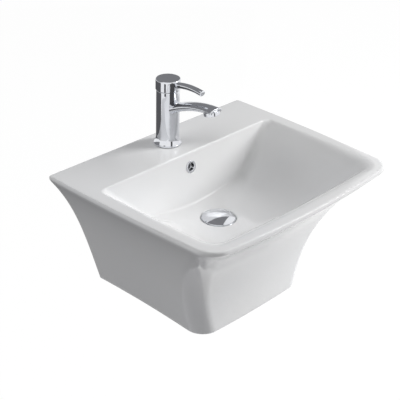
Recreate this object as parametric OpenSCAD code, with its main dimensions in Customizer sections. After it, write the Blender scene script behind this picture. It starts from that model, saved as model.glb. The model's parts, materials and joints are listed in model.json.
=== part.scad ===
// Wall-hung washbasin cast in one piece with its shroud, with a single-lever
// mixer tap, a push-open waste and an overflow ring.
// The origin is midway between the two wall fixing holes, on the wall plane.
// X runs along the wall, Y points into the wall, Z points up. Millimetres.

/* [Rim] */
// Width of the rim where it meets the wall
rim_w = 496; // [480:2:520]
// Width of the rim at the front corners
rim_front_w = 476; // [462:2:490]
// Depth of the rim from the wall to the middle of the front
rim_d = 410; // [400:2:430]
// Height of the rim's upright edge
rim_edge = 9; // [7:0.5:12]
// How far each side of the rim bows outwards
side_bow = 5; // [0:1:10]
// How far the front of the rim bows outwards
front_bow = 16; // [8:1:20]
// Radius of the front corners of the rim
rim_corner_r = 42; // [36:1:50]
// Width of the flat rim beside the bowl
rim_side_t = 27; // [24:1:32]
// Width of the flat rim in front of the bowl
rim_front_t = 32; // [28:1:36]
// Rounding of the rim's outer edge
edge_round = 4; // [2:0.5:6]

/* [Shroud] */
// Height of the basin from its foot to the rim
basin_h = 268; // [256:2:300]
// Width of the foot on the wall
foot_w = 271; // [262:1:284]
// Width of the foot at the front corners
foot_front_w = 281; // [272:1:290]
// How far the rim's front edge stands out over the foot
front_overhang = 123; // [114:1:130]
// Radius of the front corners of the foot
foot_corner_r = 36; // [30:1:42]
// Rounding of the foot's lower edge
foot_round = 6; // [4:0.5:8]
// Share of the side flare that is a straight taper
side_taper = 0.71; // [0.6:0.01:0.8]
// How late the side flare opens
side_flare = 3.8; // [3.2:0.1:4.6]
// How late the front flare opens
front_flare = 2.4; // [2.2:0.1:2.8]
// Wall thickness of the shroud
shroud_t = 10; // [8:0.5:11]
// Thickness of the back panel
back_t = 12; // [10:0.5:15]
// Width of the opening in the back panel
pipe_gap_w = 190; // [150:5:210]
// Height of the opening in the back panel
pipe_gap_h = 118; // [90:2:126]
// Radius of the opening's upper corners
pipe_gap_r = 22; // [10:1:30]

/* [Bowl] */
// Depth of the tap ledge from the wall to the bowl
ledge_d = 107; // [104:1:112]
// Depth of the bowl at the fold between back wall and floor
bowl_depth = 97.5; // [92:0.5:100]
// How far the back wall of the bowl leans forward
back_lean = 19; // [14:1:24]
// How far the side walls run inwards on their way down
side_run = 91; // [84:1:98]
// How far the front wall runs inwards on its way down
front_run = 74; // [68:1:80]
// Radius of the bowl's back corners
bowl_back_r = 14; // [10:1:20]
// Radius of the bowl's front corners
bowl_front_r = 26; // [20:1:32]
// Radius of the corners of the bowl's floor
floor_r = 34; // [26:1:40]
// How much the floor rises towards its sides
floor_rise = 15.5; // [12:0.5:18]
// Distance of the waste from the wall
waste_y = 187; // [182:1:192]
// Drop of the floor from the fold to the waste
floor_drop = 9.5; // [8:0.5:12]
// Thickness of the bowl wall
bowl_t = 10; // [9:0.5:12]
// Thickness of the tap ledge
ledge_t = 18; // [16:0.5:20]

/* [Wall fixing] */
// Distance between the two wall fixings
fixing_spacing = 280; // [260:5:300]
// Height of the rim above the wall fixings
fixing_drop = 70; // [62:1:84]
// Radius of the fixing hole in the ceramic
fixing_hole_r = 8; // [7:0.5:9]
// Radius of the bore in the fixing bush
bush_bore_r = 5.3; // [5:0.1:6]
// Radius of the head of the fixing bush
bush_head_r = 14; // [12:0.5:17]
// Thickness of the head of the fixing bush
bush_head_t = 3; // [2:0.5:5]

/* [Overflow] */
// Depth of the overflow below the rim
overflow_drop = 28; // [26:0.5:32]
// Radius of the overflow hole
overflow_hole_r = 9.5; // [8.5:0.5:10.5]
// Radius of the overflow ring
overflow_ring_r = 12; // [11.5:0.25:13]
// Thickness of the overflow ring's face
overflow_face_t = 1.8; // [1.2:0.2:2.6]
// Width of the overflow channel
channel_w = 30; // [26:1:34]
// Depth of the overflow channel behind the bowl
channel_d = 15; // [13:1:17]
// Wall thickness round the overflow channel
channel_t = 7; // [6:0.5:8]

/* [Waste] */
// Radius of the waste hole in the ceramic
waste_hole_r = 23; // [22.5:0.25:24]
// Outer radius of the waste tube
waste_tube_r = 20.95; // [20.4:0.05:21.5]
// Wall thickness of the waste tube
waste_tube_t = 2; // [1.5:0.25:2.5]
// Length of the waste tube below its flange
waste_tube_l = 92; // [86:1:100]
// Radius of the waste flange
waste_flange_r = 32.8; // [32.5:0.1:34]
// Thickness of the waste flange
waste_flange_t = 2.4; // [2:0.2:3]
// Radius of the plug cover
cover_r = 31.8; // [30:0.1:32.2]
// Height of the plug cover's dome
cover_rise = 4.2; // [3:0.2:5.5]
// Thickness of the plug cover
cover_t = 1.8; // [1.4:0.1:2.2]
// How far the plug cover rises when it opens
plug_travel = 9; // [7:0.5:10]
// Height of the ceramic collar round the waste
collar_h = 44; // [42:1:48]
// Thickness of the waste's top seal
top_seal_t = 1.5; // [1:0.25:2]
// Thickness of the waste's lower seal
cone_seal_t = 6; // [5:0.5:7]
// Thickness of the slip washer
slip_t = 1.5; // [1:0.25:2]
// Thickness of the waste nut
waste_nut_t = 10; // [8:0.5:12]

/* [Tap] */
// Distance of the tap's axis from the wall
tap_y = 49.6; // [47:0.2:51]
// Radius of the tap hole in the ledge
tap_hole_r = 17.5; // [17.5:0.5:18.5]
// Radius of the tap's column
column_r = 22; // [21.6:0.1:22.4]
// Height of the column above the ledge
column_h = 109.7; // [106:0.1:114]
// Radius of the flared foot of the column
column_foot_r = 26.2; // [25.5:0.1:27]
// Height of the flared foot
column_flare_h = 16; // [13:1:24]
// Radius of the ring under the column
base_ring_r = 26.8; // [26.2:0.1:28]
// Thickness of the ring under the column
base_ring_t = 2.2; // [1.6:0.2:3]
// Thickness of the seal under the ring
base_seal_t = 1; // [0.8:0.1:1.4]
// Distance of the water inlets from the tap's centre line
inlet_x = 8.2; // [7.8:0.1:8.6]
// Radius of the water inlets
inlet_r = 4.5; // [4:0.1:4.8]
// Depth of the sockets for the inlet hoses
inlet_l = 16; // [12:1:20]
// Distance of the stud behind the tap's axis
stud_y = 9.5; // [9:0.1:10]
// Radius of the fixing stud
stud_r = 4; // [3.5:0.1:4.2]
// Length of the fixing stud below the ledge
stud_l = 50; // [44:1:60]

/* [Spout] */
// Reach of the spout from the tap's axis
spout_reach = 123; // [117:1:129]
// Height of the spout's centre line at its highest point
spout_top = 103.5; // [101:0.1:104.5]
// Distance of that highest point from the tap's axis
spout_top_at = 120; // [112:1:126]
// Radius of the spout's arch
spout_arch_r = 196; // [184:2:230]
// Width of the spout at the column
spout_w = 28; // [26:0.5:30]
// Width of the spout at its end
spout_end_w = 29.5; // [28:0.5:32]
// Thickness of the spout at the column
spout_t = 16.5; // [15.5:0.5:17.5]
// Thickness of the spout at its end
spout_end_t = 11.5; // [11:0.5:13]
// Distance of the outlet from the tap's axis
outlet_reach = 111; // [109:0.5:113]
// Forward tilt of the outlet in degrees
outlet_tilt = 12; // [8:1:14]
// Radius of the aerator housing
aerator_r = 15; // [14.5:0.25:15.5]
// Height of the aerator housing
aerator_h = 7.6; // [7.2:0.1:8.4]
// Depth of the recess for the aerator in the underside of the spout
spot_face = 5; // [4.2:0.1:5.4]

/* [Lever] */
// Outer radius of the lever's cap
cap_r = 23.4; // [23:0.1:24.5]
// Height of the lever's cap
cap_h = 21; // [20:0.25:23]
// Gap between the column and the cap
cap_gap = 0.8; // [0.6:0.1:1.2]
// Reach of the lever from the tap's axis
lever_reach = 88.5; // [80:0.5:98]
// Width of the lever at the cap
lever_w = 11; // [10:0.5:13]
// Width of the lever at its end
lever_end_w = 12.5; // [11:0.5:15]
// Thickness of the lever at the cap
lever_t = 11.6; // [10.4:0.2:12.2]
// Thickness of the lever at its end
lever_end_t = 9.7; // [8.6:0.1:11]
// How far the lever lifts in degrees
lever_lift = 24; // [18:1:25]
// Depth of the lever's pivot below the top of the column
pivot_drop = 12; // [11:0.25:13]
// Distance from the pivot down to the ball that drives the disc
stem_arm = 13.5; // [12.5:0.25:14]
// Width of the square stem in the lever
stem_w = 6.4; // [5.6:0.2:6.8]

/* [Hidden] */
$fn = 72;

white = [0.94, 0.94, 0.93];
chrome = [0.76, 0.78, 0.80];
rubber = [0.16, 0.16, 0.17];
brass = [0.76, 0.62, 0.32];
steel = [0.62, 0.64, 0.66];
plastic = [0.86, 0.86, 0.84];

// Shared helpers
function mix(a, b, t) = a + (b - a) * t;
function clamp01(t) = min(1, max(0, t));
function ease(t) = let (c = clamp01(t)) c * c * (3 - 2 * c);
function unit(v) = v / norm(v);
// Point on the quadratic curve that rounds corner q between p and r
function bend(p, q, r, t) = p * (1 - t) * (1 - t) + q * 2 * t * (1 - t) + r * t * t;

// Closed skin over rings of points, all with the same even number of points the same way round.
// Each end is closed by triangles round the middle of its ring.
module loft(rings) {
    n = len(rings[0]);
    m = len(rings);
    last = (m - 1) * n;
    middle = function (ring) (ring[0] + ring[n / 2]) / 2;
    polyhedron(
        points = concat([for (ring = rings) each ring], [middle(rings[0]), middle(rings[m - 1])]),
        faces = concat(
            [for (j = [0 : m - 2], i = [0 : n - 1]) each let (k = (i + 1) % n)
                [[j * n + i, (j + 1) * n + i, (j + 1) * n + k], [j * n + i, (j + 1) * n + k, j * n + k]]],
            [for (i = [0 : n - 1]) [i, (i + 1) % n, m * n]],
            [for (i = [0 : n - 1]) [last + (i + 1) % n, last + i, m * n + 1]]),
        convexity = 8);
}

// Plan outline with a straight back: half width w on the back line and w * k at the front,
// from y = -near to y = -far, with bowed sides and front and rounded corners.
back_n = 5;
side_n = 9;
front_n = 6;
corner_n = 5;
function outline(w, k, near, far, back_r, front_r, bow, bulge, z) =
    let (
        side = function (y) let (t = (-y - near) / (far - near))
            w * (1 + (k - 1) * t) + bow * 4 * t * (1 - t),
        front = function (x) -far + bulge * (x / (w * k)) * (x / (w * k)),
        bc = [w - back_r, -near - back_r],
        fy = -far + bulge + front_r,
        fx = side(fy) - front_r,
        half = concat(
            [for (i = [0 : back_n - 1]) [bc[0] * i / back_n, -near]],
            [for (i = [0 : corner_n]) let (a = 90 * (1 - i / corner_n))
                [bc[0] + (side(bc[1]) - bc[0]) * cos(a), bc[1] + back_r * sin(a)]],
            [for (i = [1 : side_n - 1]) let (y = mix(bc[1], fy, i / side_n)) [side(y), y]],
            [for (i = [0 : corner_n]) let (a = 90 * i / corner_n)
                [fx + front_r * cos(a), fy - (fy - front(fx)) * sin(a)]],
            [for (i = [1 : front_n]) let (x = fx * (1 - i / front_n)) [x, front(x)]]),
        last = len(half) - 1)
    concat([for (p = half) [-p[0], p[1], z]], [for (i = [last - 1 : -1 : 1]) [half[i][0], half[i][1], z]]);

// Heights inside the basin are measured from the rim
rim_z = fixing_drop;
module at_rim() { translate([0, 0, rim_z]) children(); }
module at_tap() { translate([0, -tap_y, rim_z]) children(); }

// Outside of the shroud, u = 0 at the foot and 1 under the rim's edge, inset all round by t
foot_d = rim_d - front_overhang;
foot_bow = -4;
foot_bulge = 4;
sharp_r = 3;
flare_h = basin_h - rim_edge;
function half_w(u) = mix(foot_w / 2, rim_w / 2, side_taper * u + (1 - side_taper) * pow(u, side_flare));
function taper_k(u) = mix(foot_front_w / foot_w, rim_front_w / rim_w, u);
function reach(u) = mix(foot_d, rim_d, pow(u, front_flare));
function shell(u, z, t = 0, near = 0) =
    let (w = half_w(u))
    outline(w - t, (w * taper_k(u) - t) / (w - t), near, reach(u) - t, sharp_r,
            mix(foot_corner_r, rim_corner_r, u) - t, mix(foot_bow, side_bow, u),
            mix(foot_bulge, front_bow, u), z);

// Rails of the bowl: its edge at the rim, the fold at the foot of its walls and the waste
bowl_w = rim_w / 2 - rim_side_t;
bowl_k = (rim_front_w / 2 - rim_side_t) / bowl_w;
bowl_far = rim_d - rim_front_t;
fold_w = bowl_w - side_run;
fold_near = ledge_d + back_lean;
fold_far = bowl_far - front_run;
waste_z = -bowl_depth - floor_drop;
seat_r = waste_flange_r + 1.2;
function bowl_rail(grow, z, near) =
    outline(bowl_w + grow, bowl_k, near, bowl_far + grow, bowl_back_r, bowl_front_r + grow,
            2, front_bow * 0.3, z);
function fold_rail(grow, near) =
    outline(fold_w + grow, bowl_k, near, fold_far + grow, floor_r * 0.6, floor_r, 3, 4, 0);
function fold_z(p) = -bowl_depth + floor_rise * pow(p[0] / 128, 2);
function lifted(rail, dz) = [for (p = rail) [p[0], p[1], fold_z(p) + dz]];
// Ring of radius r round the waste, its points in line with those of a rail
function waste_ring(rail, r, z) =
    [for (p = rail) let (d = unit([p[0], p[1] + waste_y])) [d[0] * r, -waste_y + d[1] * r, z]];

edge_rail = shell(1, 0);
lip_rail = bowl_rail(0, 0, ledge_d);
fold = lifted(fold_rail(0, fold_near), 0);
seat = waste_ring(fold, seat_r, waste_z);
count = len(fold);
// Rounding is tight along the back of the bowl and soft along its sides and front
function back_share(i) = ease((fold[i][1] + fold_near + 30) / 30);
function lip_round(i) = mix(9, 4, back_share(i));
function fold_round(i) = mix(34, 6, back_share(i));

function foot_ring(t) = let (a = 90 * t)
    shell(0, -basin_h + foot_round * (1 - cos(a)), foot_round * (1 - sin(a)));
function edge_ring(t) = [for (i = [0 : count - 1]) let (p = edge_rail[i], q = lip_rail[i])
    bend(p - [0, 0, edge_round], p, p + unit(q - p) * edge_round, t)];
function lip_ring(t) = [for (i = [0 : count - 1]) let (q = lip_rail[i], r = lip_round(i))
    bend(q + unit(edge_rail[i] - q) * r, q, q + unit(fold[i] - q) * r, t)];
function fold_ring(t) = [for (i = [0 : count - 1]) let (q = fold[i], r = fold_round(i))
    bend(q + unit(lip_rail[i] - q) * r, q, q + unit(seat[i] - q) * min(r, norm(seat[i] - q) * 0.6), t)];
function between(a, b, t) = [for (i = [0 : count - 1]) mix(a[i], b[i], t)];

// The casting is made as a bowl with its rim, and a shroud that is joined on under the rim at joint_z
hollow_top = ledge_t;
joint_z = -hollow_top;
collar_r = seat_r + 4;
function shroud_z(u) = mix(-basin_h + foot_round, -rim_edge, u);
joint_u = (joint_z - shroud_z(0)) / (shroud_z(1) - shroud_z(0));
under_lip = bowl_rail(1, joint_z, ledge_d - bowl_t - 1);
under_fold = lifted(fold_rail(3, fold_near - bowl_t), -bowl_t - 2);
under_seat = waste_ring(under_fold, collar_r - 3, waste_z - bowl_t - 1);

// Bowl: up its outside, out under the rim, round the rim's edge and down the inside
bowl_rings = concat(
    [under_seat, under_fold, under_lip],
    [for (u = [joint_u, 1]) shell(u, shroud_z(u))],
    [for (t = [0, 0.33, 0.67, 1]) edge_ring(t)],
    [for (t = [0, 0.33, 0.67, 1]) lip_ring(t)],
    [between(lip_ring(1), fold_ring(0), 0.5)],
    [for (t = [0, 0.25, 0.5, 0.75, 1]) fold_ring(t)],
    [between(fold_ring(1), seat, 0.5)],
    [seat]);

// Shroud: its outside from the foot up to the joint, and the hollow inside it
shroud_rings = concat(
    [for (t = [0, 0.33, 0.67]) foot_ring(t)],
    [for (i = [0 : 11]) let (u = joint_u * i / 11) shell(u, shroud_z(u))]);
function inside(u, z) = shell(u, z, shroud_t, back_t);
hollow_rings = concat(
    [inside(0, -basin_h - 5)],
    [for (i = [0 : 6]) let (u = joint_u * i / 6) inside(u, shroud_z(u))],
    [inside(joint_u, joint_z + 5)]);

// Overflow channel, drawn as seen from the side with Y across and Z up
function back_y(d) = -ledge_d - back_lean * d / bowl_depth;
collar_z = waste_z - 5;
collar_low = collar_z - collar_h;
gallery_high = collar_low + 26;
gallery_low = collar_low + 12;
channel_high = -ledge_t + 1;
channel_bend = bowl_depth + 2.5;
channel_foot = bowl_depth + 12.5;
channel_in = [[back_y(14) + bowl_t, channel_high], [back_y(14) + bowl_t + channel_d, channel_high],
              [back_y(channel_bend) + bowl_t + channel_d, waste_z - 5], [back_y(channel_foot) + channel_d, gallery_low],
              [-waste_y + 10, gallery_low], [-waste_y + 10, gallery_high],
              [back_y(channel_bend), gallery_high], [back_y(channel_bend) + bowl_t - 2, waste_z - 5]];
channel_out = [[back_y(10) + 5, -ledge_t + 8],
               [back_y(10) + bowl_t + channel_d + channel_t, -ledge_t + 8],
               [back_y(channel_bend) + bowl_t + channel_d + channel_t, waste_z - 8],
               [back_y(channel_foot) + channel_d + channel_t, gallery_low - channel_t],
               [-waste_y, gallery_low - channel_t], [-waste_y, waste_z - 5],
               [-waste_y + 37, waste_z - 2.5], [back_y(bowl_depth - 2.5) + 3, -bowl_depth - 5]];
module side_plate(points, w) {
    rotate([90, 0, 90]) translate([0, 0, -w / 2]) linear_extrude(height = w) polygon(points);
}

// Axis of the overflow ring, square to the back wall, with Z out of the wall into the bowl
lean_angle = atan(back_lean / bowl_depth);
module at_overflow() {
    translate([0, back_y(overflow_drop), rim_z - overflow_drop]) rotate([90 - lean_angle, 0, 0]) children();
}
module at_waste() { translate([0, -waste_y, rim_z + waste_z]) children(); }

seat_drop = 4.5;
module bowl_form() {
    at_rim() loft(bowl_rings);
    at_rim() translate([0, -waste_y, collar_low]) cylinder(r = collar_r, h = collar_h + 1);
}
module basin_body() {
    color(white) difference() {
        bowl_form();
        at_rim() side_plate(channel_in, channel_w);
        at_rim() translate([0, -waste_y, gallery_low])
            cylinder(r = collar_r - 7, h = gallery_high - gallery_low);
        at_waste() translate([0, 0, -collar_h - 10]) cylinder(r = waste_hole_r, h = collar_h + 20);
        at_waste() translate([0, 0, -seat_drop]) cylinder(r = waste_flange_r + 0.7, h = 20);
        at_overflow() translate([0, 0, -bowl_t - 4]) cylinder(r = overflow_hole_r, h = bowl_t + 20);
        at_tap() translate([0, 0, -ledge_t - 6]) cylinder(r = tap_hole_r, h = ledge_t + 20);
    }
}
module basin_shroud() {
    color(white) difference() {
        at_rim() loft(shroud_rings);
        at_rim() loft(hollow_rings);
        bowl_form();
        for (s = [-1, 1]) translate([s * fixing_spacing / 2, 1, 0]) rotate([90, 0, 0])
            cylinder(r = fixing_hole_r, h = back_t + 2);
        translate([0, 1, rim_z - basin_h + pipe_gap_h]) rotate([90, 0, 0])
            linear_extrude(height = back_t + 2) pipe_gap();
    }
}
// Channel from the overflow down behind the bowl and forward to the collar
module overflow_channel() {
    color(white) difference() {
        at_rim() side_plate(channel_out, channel_w + 2 * channel_t);
        at_rim() side_plate(channel_in, channel_w);
        bowl_form();
    }
}
// Opening for the pipes, from below the foot up to pipe_gap_h, with round upper corners
module pipe_gap() {
    flat = pipe_gap_w / 2 - pipe_gap_r;
    polygon(concat(
        [[pipe_gap_w / 2, -pipe_gap_h - 6]],
        [for (i = [0 : 6]) [flat + pipe_gap_r * cos(15 * i), -pipe_gap_r + pipe_gap_r * sin(15 * i)]],
        [for (i = [6 : -1 : 0]) [-flat - pipe_gap_r * cos(15 * i), -pipe_gap_r + pipe_gap_r * sin(15 * i)]],
        [[-pipe_gap_w / 2, -pipe_gap_h - 6]]));
}

// Plastic bushes in the two wall fixing holes, heads inside the hollow
bush_fit = 0.2;
module wall_bushes() {
    color(plastic) for (s = [-1, 1])
        translate([s * fixing_spacing / 2, 0, 0]) rotate([90, 0, 0]) difference() {
            union() {
                translate([0, 0, 0.5]) cylinder(r = fixing_hole_r - bush_fit, h = back_t + 1);
                translate([0, 0, back_t]) cylinder(r = bush_head_r, h = bush_head_t);
            }
            translate([0, 0, -1]) cylinder(r = bush_bore_r, h = back_t + bush_head_t + 4);
        }
}

// Chrome ring in the overflow hole, with three spokes across its opening
ring_fit = 0.2;
module overflow_ring() {
    open_r = overflow_hole_r - 2;
    color(chrome) at_overflow() {
        rotate_extrude() polygon([[open_r, -bowl_t + 2], [overflow_hole_r - ring_fit, -bowl_t + 2],
            [overflow_hole_r - ring_fit, 0.15], [overflow_ring_r, 0.15],
            [overflow_ring_r, overflow_face_t * 0.4], [overflow_ring_r - 0.8, overflow_face_t],
            [open_r + 0.8, overflow_face_t], [open_r, overflow_face_t * 0.5]]);
        for (a = [90, 210, 330]) rotate([0, 0, a]) translate([0, -0.9, -2]) cube([open_r + 0.5, 1.8, 2.6]);
        translate([0, 0, -2]) cylinder(r = 1.9, h = 2.6);
    }
}

// Waste: levels are measured up from the bottom of the flange's seat in the ceramic
waste_seat_z = rim_z + waste_z - seat_drop;
flange_z = waste_seat_z + top_seal_t;
tube_in = waste_tube_r - waste_tube_t;
tube_low = flange_z - waste_tube_l;
web_z = rim_z + gallery_low - 12;
web_t = 5;
hub_r = 8.5;
click_r = 6;
module at_waste_axis(z) { translate([0, -waste_y, z]) children(); }
slot_h = gallery_high - gallery_low - 3;
cone_seal_z = rim_z + collar_low - cone_seal_t;
slip_z = cone_seal_z - slip_t;
// Groove between the nut's stretch of the tube and the free end that the trap is fastened to
groove_z = slip_z - waste_nut_t - 0.5;
module waste_body() {
    color(chrome) difference() {
        at_waste_axis(0) union() {
            rotate_extrude() polygon([
                [tube_in, tube_low], [waste_tube_r, tube_low], [waste_tube_r, groove_z - 2],
                [waste_tube_r - 0.7, groove_z - 1.5], [waste_tube_r - 0.7, groove_z - 0.5],
                [waste_tube_r, groove_z], [waste_tube_r, flange_z],
                [waste_flange_r, flange_z], [waste_flange_r, flange_z + waste_flange_t - 0.8],
                [waste_flange_r - 0.8, flange_z + waste_flange_t],
                [waste_flange_r - 5, flange_z + waste_flange_t],
                [tube_in + 2.2, flange_z + 1.4], [tube_in, flange_z - 0.2]]);
            for (a = [45, 135]) rotate([0, 0, a]) translate([-tube_in - 0.8, -2, web_z])
                cube([2 * tube_in + 1.6, 4, web_t]);
            translate([0, 0, web_z - 3]) cylinder(r = hub_r, h = web_t + 6);
        }
        at_waste_axis(web_z - 4) cylinder(r = click_r, h = web_t + 10);
        for (a = [0 : 60 : 300]) at_waste_axis(rim_z + gallery_low + 1.5) rotate([0, 0, a])
            translate([waste_tube_r - 6, -4, 0]) cube([12, 8, slot_h]);
    }
}
module ring(r_in, r_out, z, h) {
    at_waste_axis(z) difference() {
        cylinder(r = r_out, h = h);
        translate([0, 0, -1]) cylinder(r = r_in, h = h + 2);
    }
}
module waste_top_seal() {
    color(rubber) ring(waste_tube_r + 0.4, waste_flange_r - 1, waste_seat_z, top_seal_t);
}
module waste_cone_seal() {
    color(rubber) at_waste_axis(cone_seal_z) rotate_extrude() polygon([
        [waste_tube_r + 0.3, 0], [waste_hole_r + 9, 0], [waste_hole_r + 9, 2.5],
        [waste_hole_r + 4, cone_seal_t], [waste_tube_r + 0.3, cone_seal_t]]);
}
module waste_slip_washer() { color(plastic) ring(waste_tube_r + 0.3, waste_hole_r + 9, slip_z, slip_t); }
waste_nut_r = waste_hole_r + 10;
module waste_nut() {
    color(brass) at_waste_axis(slip_z - waste_nut_t) difference() {
        union() {
            rotate([0, 0, 22.5]) cylinder(r = waste_nut_r, h = waste_nut_t - 2, $fn = 8);
            translate([0, 0, waste_nut_t - 2]) cylinder(r = waste_nut_r * cos(22.5) - 0.8, h = 2);
        }
        translate([0, 0, -1]) cylinder(r = waste_tube_r + 0.05, h = waste_nut_t + 2);
    }
}

// Push-open plug: housing screwed in the waste's hub, spring, stem and domed cover
housing_low = web_z - 10;
housing_high = web_z + web_t + 3 + 4;
housing_bore = click_r - 1.6;
stem_r = 2.6;
guide_r = stem_r + 0.08;
module click_housing() {
    color(plastic) at_waste_axis(0) rotate_extrude() polygon([
        [0, housing_low], [click_r - 0.1, housing_low], [click_r - 0.1, web_z + web_t + 3],
        [hub_r - 0.5, web_z + web_t + 3], [hub_r - 0.5, housing_high], [guide_r, housing_high],
        [guide_r, housing_high - 2], [housing_bore, housing_high - 2], [housing_bore, housing_low + 2],
        [0, housing_low + 2]]);
}
stem_low = housing_low + 8;
spring_wire_r = 0.5;
spring_turns = 5;
spring_r = housing_bore - spring_wire_r - 0.3;
spring_rise = stem_low - 0.3 - 2 * spring_wire_r - (housing_low + 2.05);
steps_per_turn = 24;
function spring_ring(i) =
    let (a = 360 * i / steps_per_turn,
         z = housing_low + 2.05 + spring_wire_r + spring_rise * i / (spring_turns * steps_per_turn))
    [for (b = [0 : 60 : 300]) let (r = spring_r - spring_wire_r * cos(b))
        [r * cos(a), r * sin(a), z + spring_wire_r * sin(b)]];
module click_spring() {
    color(steel) at_waste_axis(0) loft([for (i = [0 : spring_turns * steps_per_turn]) spring_ring(i)]);
}
cover_z = flange_z + waste_flange_t + 0.3;
stem_high = cover_z - 1;
module plug_stem() {
    color(brass) at_waste_axis(0) rotate_extrude() polygon([
        [0, stem_low], [housing_bore - 0.25, stem_low], [housing_bore - 0.25, stem_low + 2],
        [stem_r, stem_low + 2], [stem_r, stem_high], [0, stem_high]]);
}
// Dome of the cover, as a circle through its rim and its crown
dome_r = (cover_r * cover_r + cover_rise * cover_rise) / (2 * cover_rise);
dome_span = asin(cover_r / dome_r);
function dome_point(a, r, z) = [r * sin(a), z + r * cos(a)];
module plug_cover() {
    crown = cover_z + cover_t + cover_rise;
    color(chrome) at_waste_axis(0) rotate_extrude() polygon(concat(
        [for (i = [0 : 8]) dome_point(dome_span * i / 8, dome_r, crown - dome_r)],
        [[cover_r, cover_z], [cover_r - 3, cover_z]],
        [for (i = [7 : -1 : 3]) dome_point(dome_span * i / 8, dome_r, crown - cover_t - dome_r)],
        [[7, cover_z + 1], [7, cover_z - 5], [stem_r + 0.02, cover_z - 5], [stem_r + 0.02, stem_high + 0.02],
         [0, stem_high + 0.02]]));
}
module plug_seal() {
    color(rubber) at_waste_axis(flange_z) rotate_extrude() polygon([
        [7.05, -1.2], [tube_in - 1.2, -1.2], [tube_in - 0.25, -0.25], [tube_in + 1.95, 1.35],
        [tube_in + 1.95, 1.8], [7.05, 1.8]]);
}

// Tap body: flared column, drilled for the cartridge, with a socket for the spout's pin
stud_high = 10;
column_z = base_seal_t + base_ring_t;
spigot_r = tap_hole_r - 1;
spigot_l = 6;
// The spigot is hollow, and the sockets for the hoses start at inlet_z, above the ledge
pocket_r = spigot_r - 1.7;
inlet_z = 0.5;
inlet_y = -5;
cart_r = 17.5;
cart_fit = 0.1;
nut_r = 19.4;
nut_seat = column_h - 6.4;
function foot_curve(t) =
    [mix(column_foot_r, column_r, 1 - pow(1 - t, 2.6)), column_z + 1 + t * column_flare_h];

spout_sides = 20;
function spout_h(s) = spout_top - pow(s - spout_top_at, 2) / (2 * spout_arch_r);
function spout_slope(s) = atan((spout_top_at - s) / spout_arch_r);
// One ring of a bar that runs forward: s is the distance from the tap's axis
function bar_ring(s, z, slope, w, t, sides) =
    [for (i = [0 : sides - 1]) let (a = 360 * i / sides,
        x = sign(cos(a)) * pow(abs(cos(a)), 0.9) * w / 2,
        v = sign(sin(a)) * pow(abs(sin(a)), 0.9) * t / 2)
        [x, -s + v * sin(slope), z + v * cos(slope)]];
spout_from = 6;
function spout_ring(f, inset = 0) = let (s = mix(spout_from, spout_reach, f))
    bar_ring(s, spout_h(s), spout_slope(s), mix(spout_w, spout_end_w, f) - 2 * inset,
             mix(spout_t, spout_end_t, f * f) - 2 * inset, spout_sides);
module spout() {
    loft(concat([for (i = [0 : 13]) spout_ring(0.99 * i / 13)],
                [spout_ring(0.997, 0.5), spout_ring(1, 1.6)]));
}
// Outlet under the end of the spout, tilted forwards, with its origin on the roof of its recess
outlet_z = spout_h(outlet_reach) - spout_end_t / 2 + spot_face;
module at_outlet_end() {
    translate([0, -outlet_reach, outlet_z]) rotate([-outlet_tilt, 0, 0]) children();
}
module at_outlet() { at_tap() at_outlet_end() children(); }
neck_r = aerator_r - 2.8;
neck_l = 2;
thread_r = aerator_r - 3.6;
thread_l = 2.6;
outlet_bore = thread_r - 2.2;
spout_pin_r = 5;
spout_pin_z = spout_h(column_r);
// The socket stops short of the cartridge's bore
spout_pin_end = cart_r + 1.1;
module tap_body() {
    color(chrome) difference() {
        at_tap() rotate_extrude() polygon(concat(
            [[0, -spigot_l], [spigot_r, -spigot_l], [spigot_r, column_z], [column_foot_r, column_z]],
            [for (i = [0 : 8]) foot_curve(i / 8)],
            [[column_r, column_h - 0.6], [column_r - 0.6, column_h], [0, column_h]]));
        at_tap() translate([0, 0, cart_z]) cylinder(r = cart_r + cart_fit, h = 60);
        at_tap() translate([0, 0, nut_seat]) cylinder(r = nut_r + 0.05, h = 30);
        at_tap() translate([0, 0, inlet_z - 20]) cylinder(r = pocket_r, h = 20);
        for (s = [-1, 1]) at_tap() translate([s * inlet_x, inlet_y, inlet_z]) {
            translate([0, 0, -1]) cylinder(r = inlet_r, h = inlet_l + 1);
            cylinder(r = inlet_r - 1.2, h = cart_z);
        }
        at_tap() translate([0, stud_y, 0]) cylinder(r = stud_r, h = stud_high + 2);
        at_tap() translate([0, -spout_pin_end, spout_pin_z]) rotate([90, 0, 0])
            cylinder(r = spout_pin_r + 0.02, h = 20);
    }
}
// Arched spout with its pin in the column and a threaded neck for the aerator
module tap_spout() {
    color(chrome) difference() {
        union() {
            at_tap() difference() {
                spout();
                cylinder(r = column_r + 0.02, h = 2 * column_h);
                at_outlet_end() translate([0, 0, -20]) cylinder(r = aerator_r + 0.8, h = 20);
            }
            at_tap() translate([0, -spout_pin_end - 0.1, spout_pin_z]) rotate([90, 0, 0])
                cylinder(r = spout_pin_r, h = 10);
            at_outlet() translate([0, 0, -neck_l]) cylinder(r = neck_r, h = neck_l + 1);
            at_outlet() translate([0, 0, -neck_l - thread_l]) cylinder(r = thread_r, h = thread_l + 1);
        }
        at_outlet() translate([0, 0, -neck_l - thread_l - 1])
            cylinder(r = outlet_bore, h = thread_l + neck_l + 2);
    }
}
module tap_base_ring() {
    color(chrome) at_tap() rotate_extrude() polygon([
        [spigot_r + 0.15, base_seal_t], [base_ring_r, base_seal_t], [base_ring_r, column_z - 0.7],
        [base_ring_r - 0.7, column_z], [spigot_r + 0.15, column_z]]);
}
module tap_base_seal() {
    color(rubber) at_tap() difference() {
        cylinder(r = base_ring_r - 1.2, h = base_seal_t);
        translate([0, 0, -1]) cylinder(r = spigot_r + 0.3, h = base_seal_t + 2);
    }
}

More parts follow.
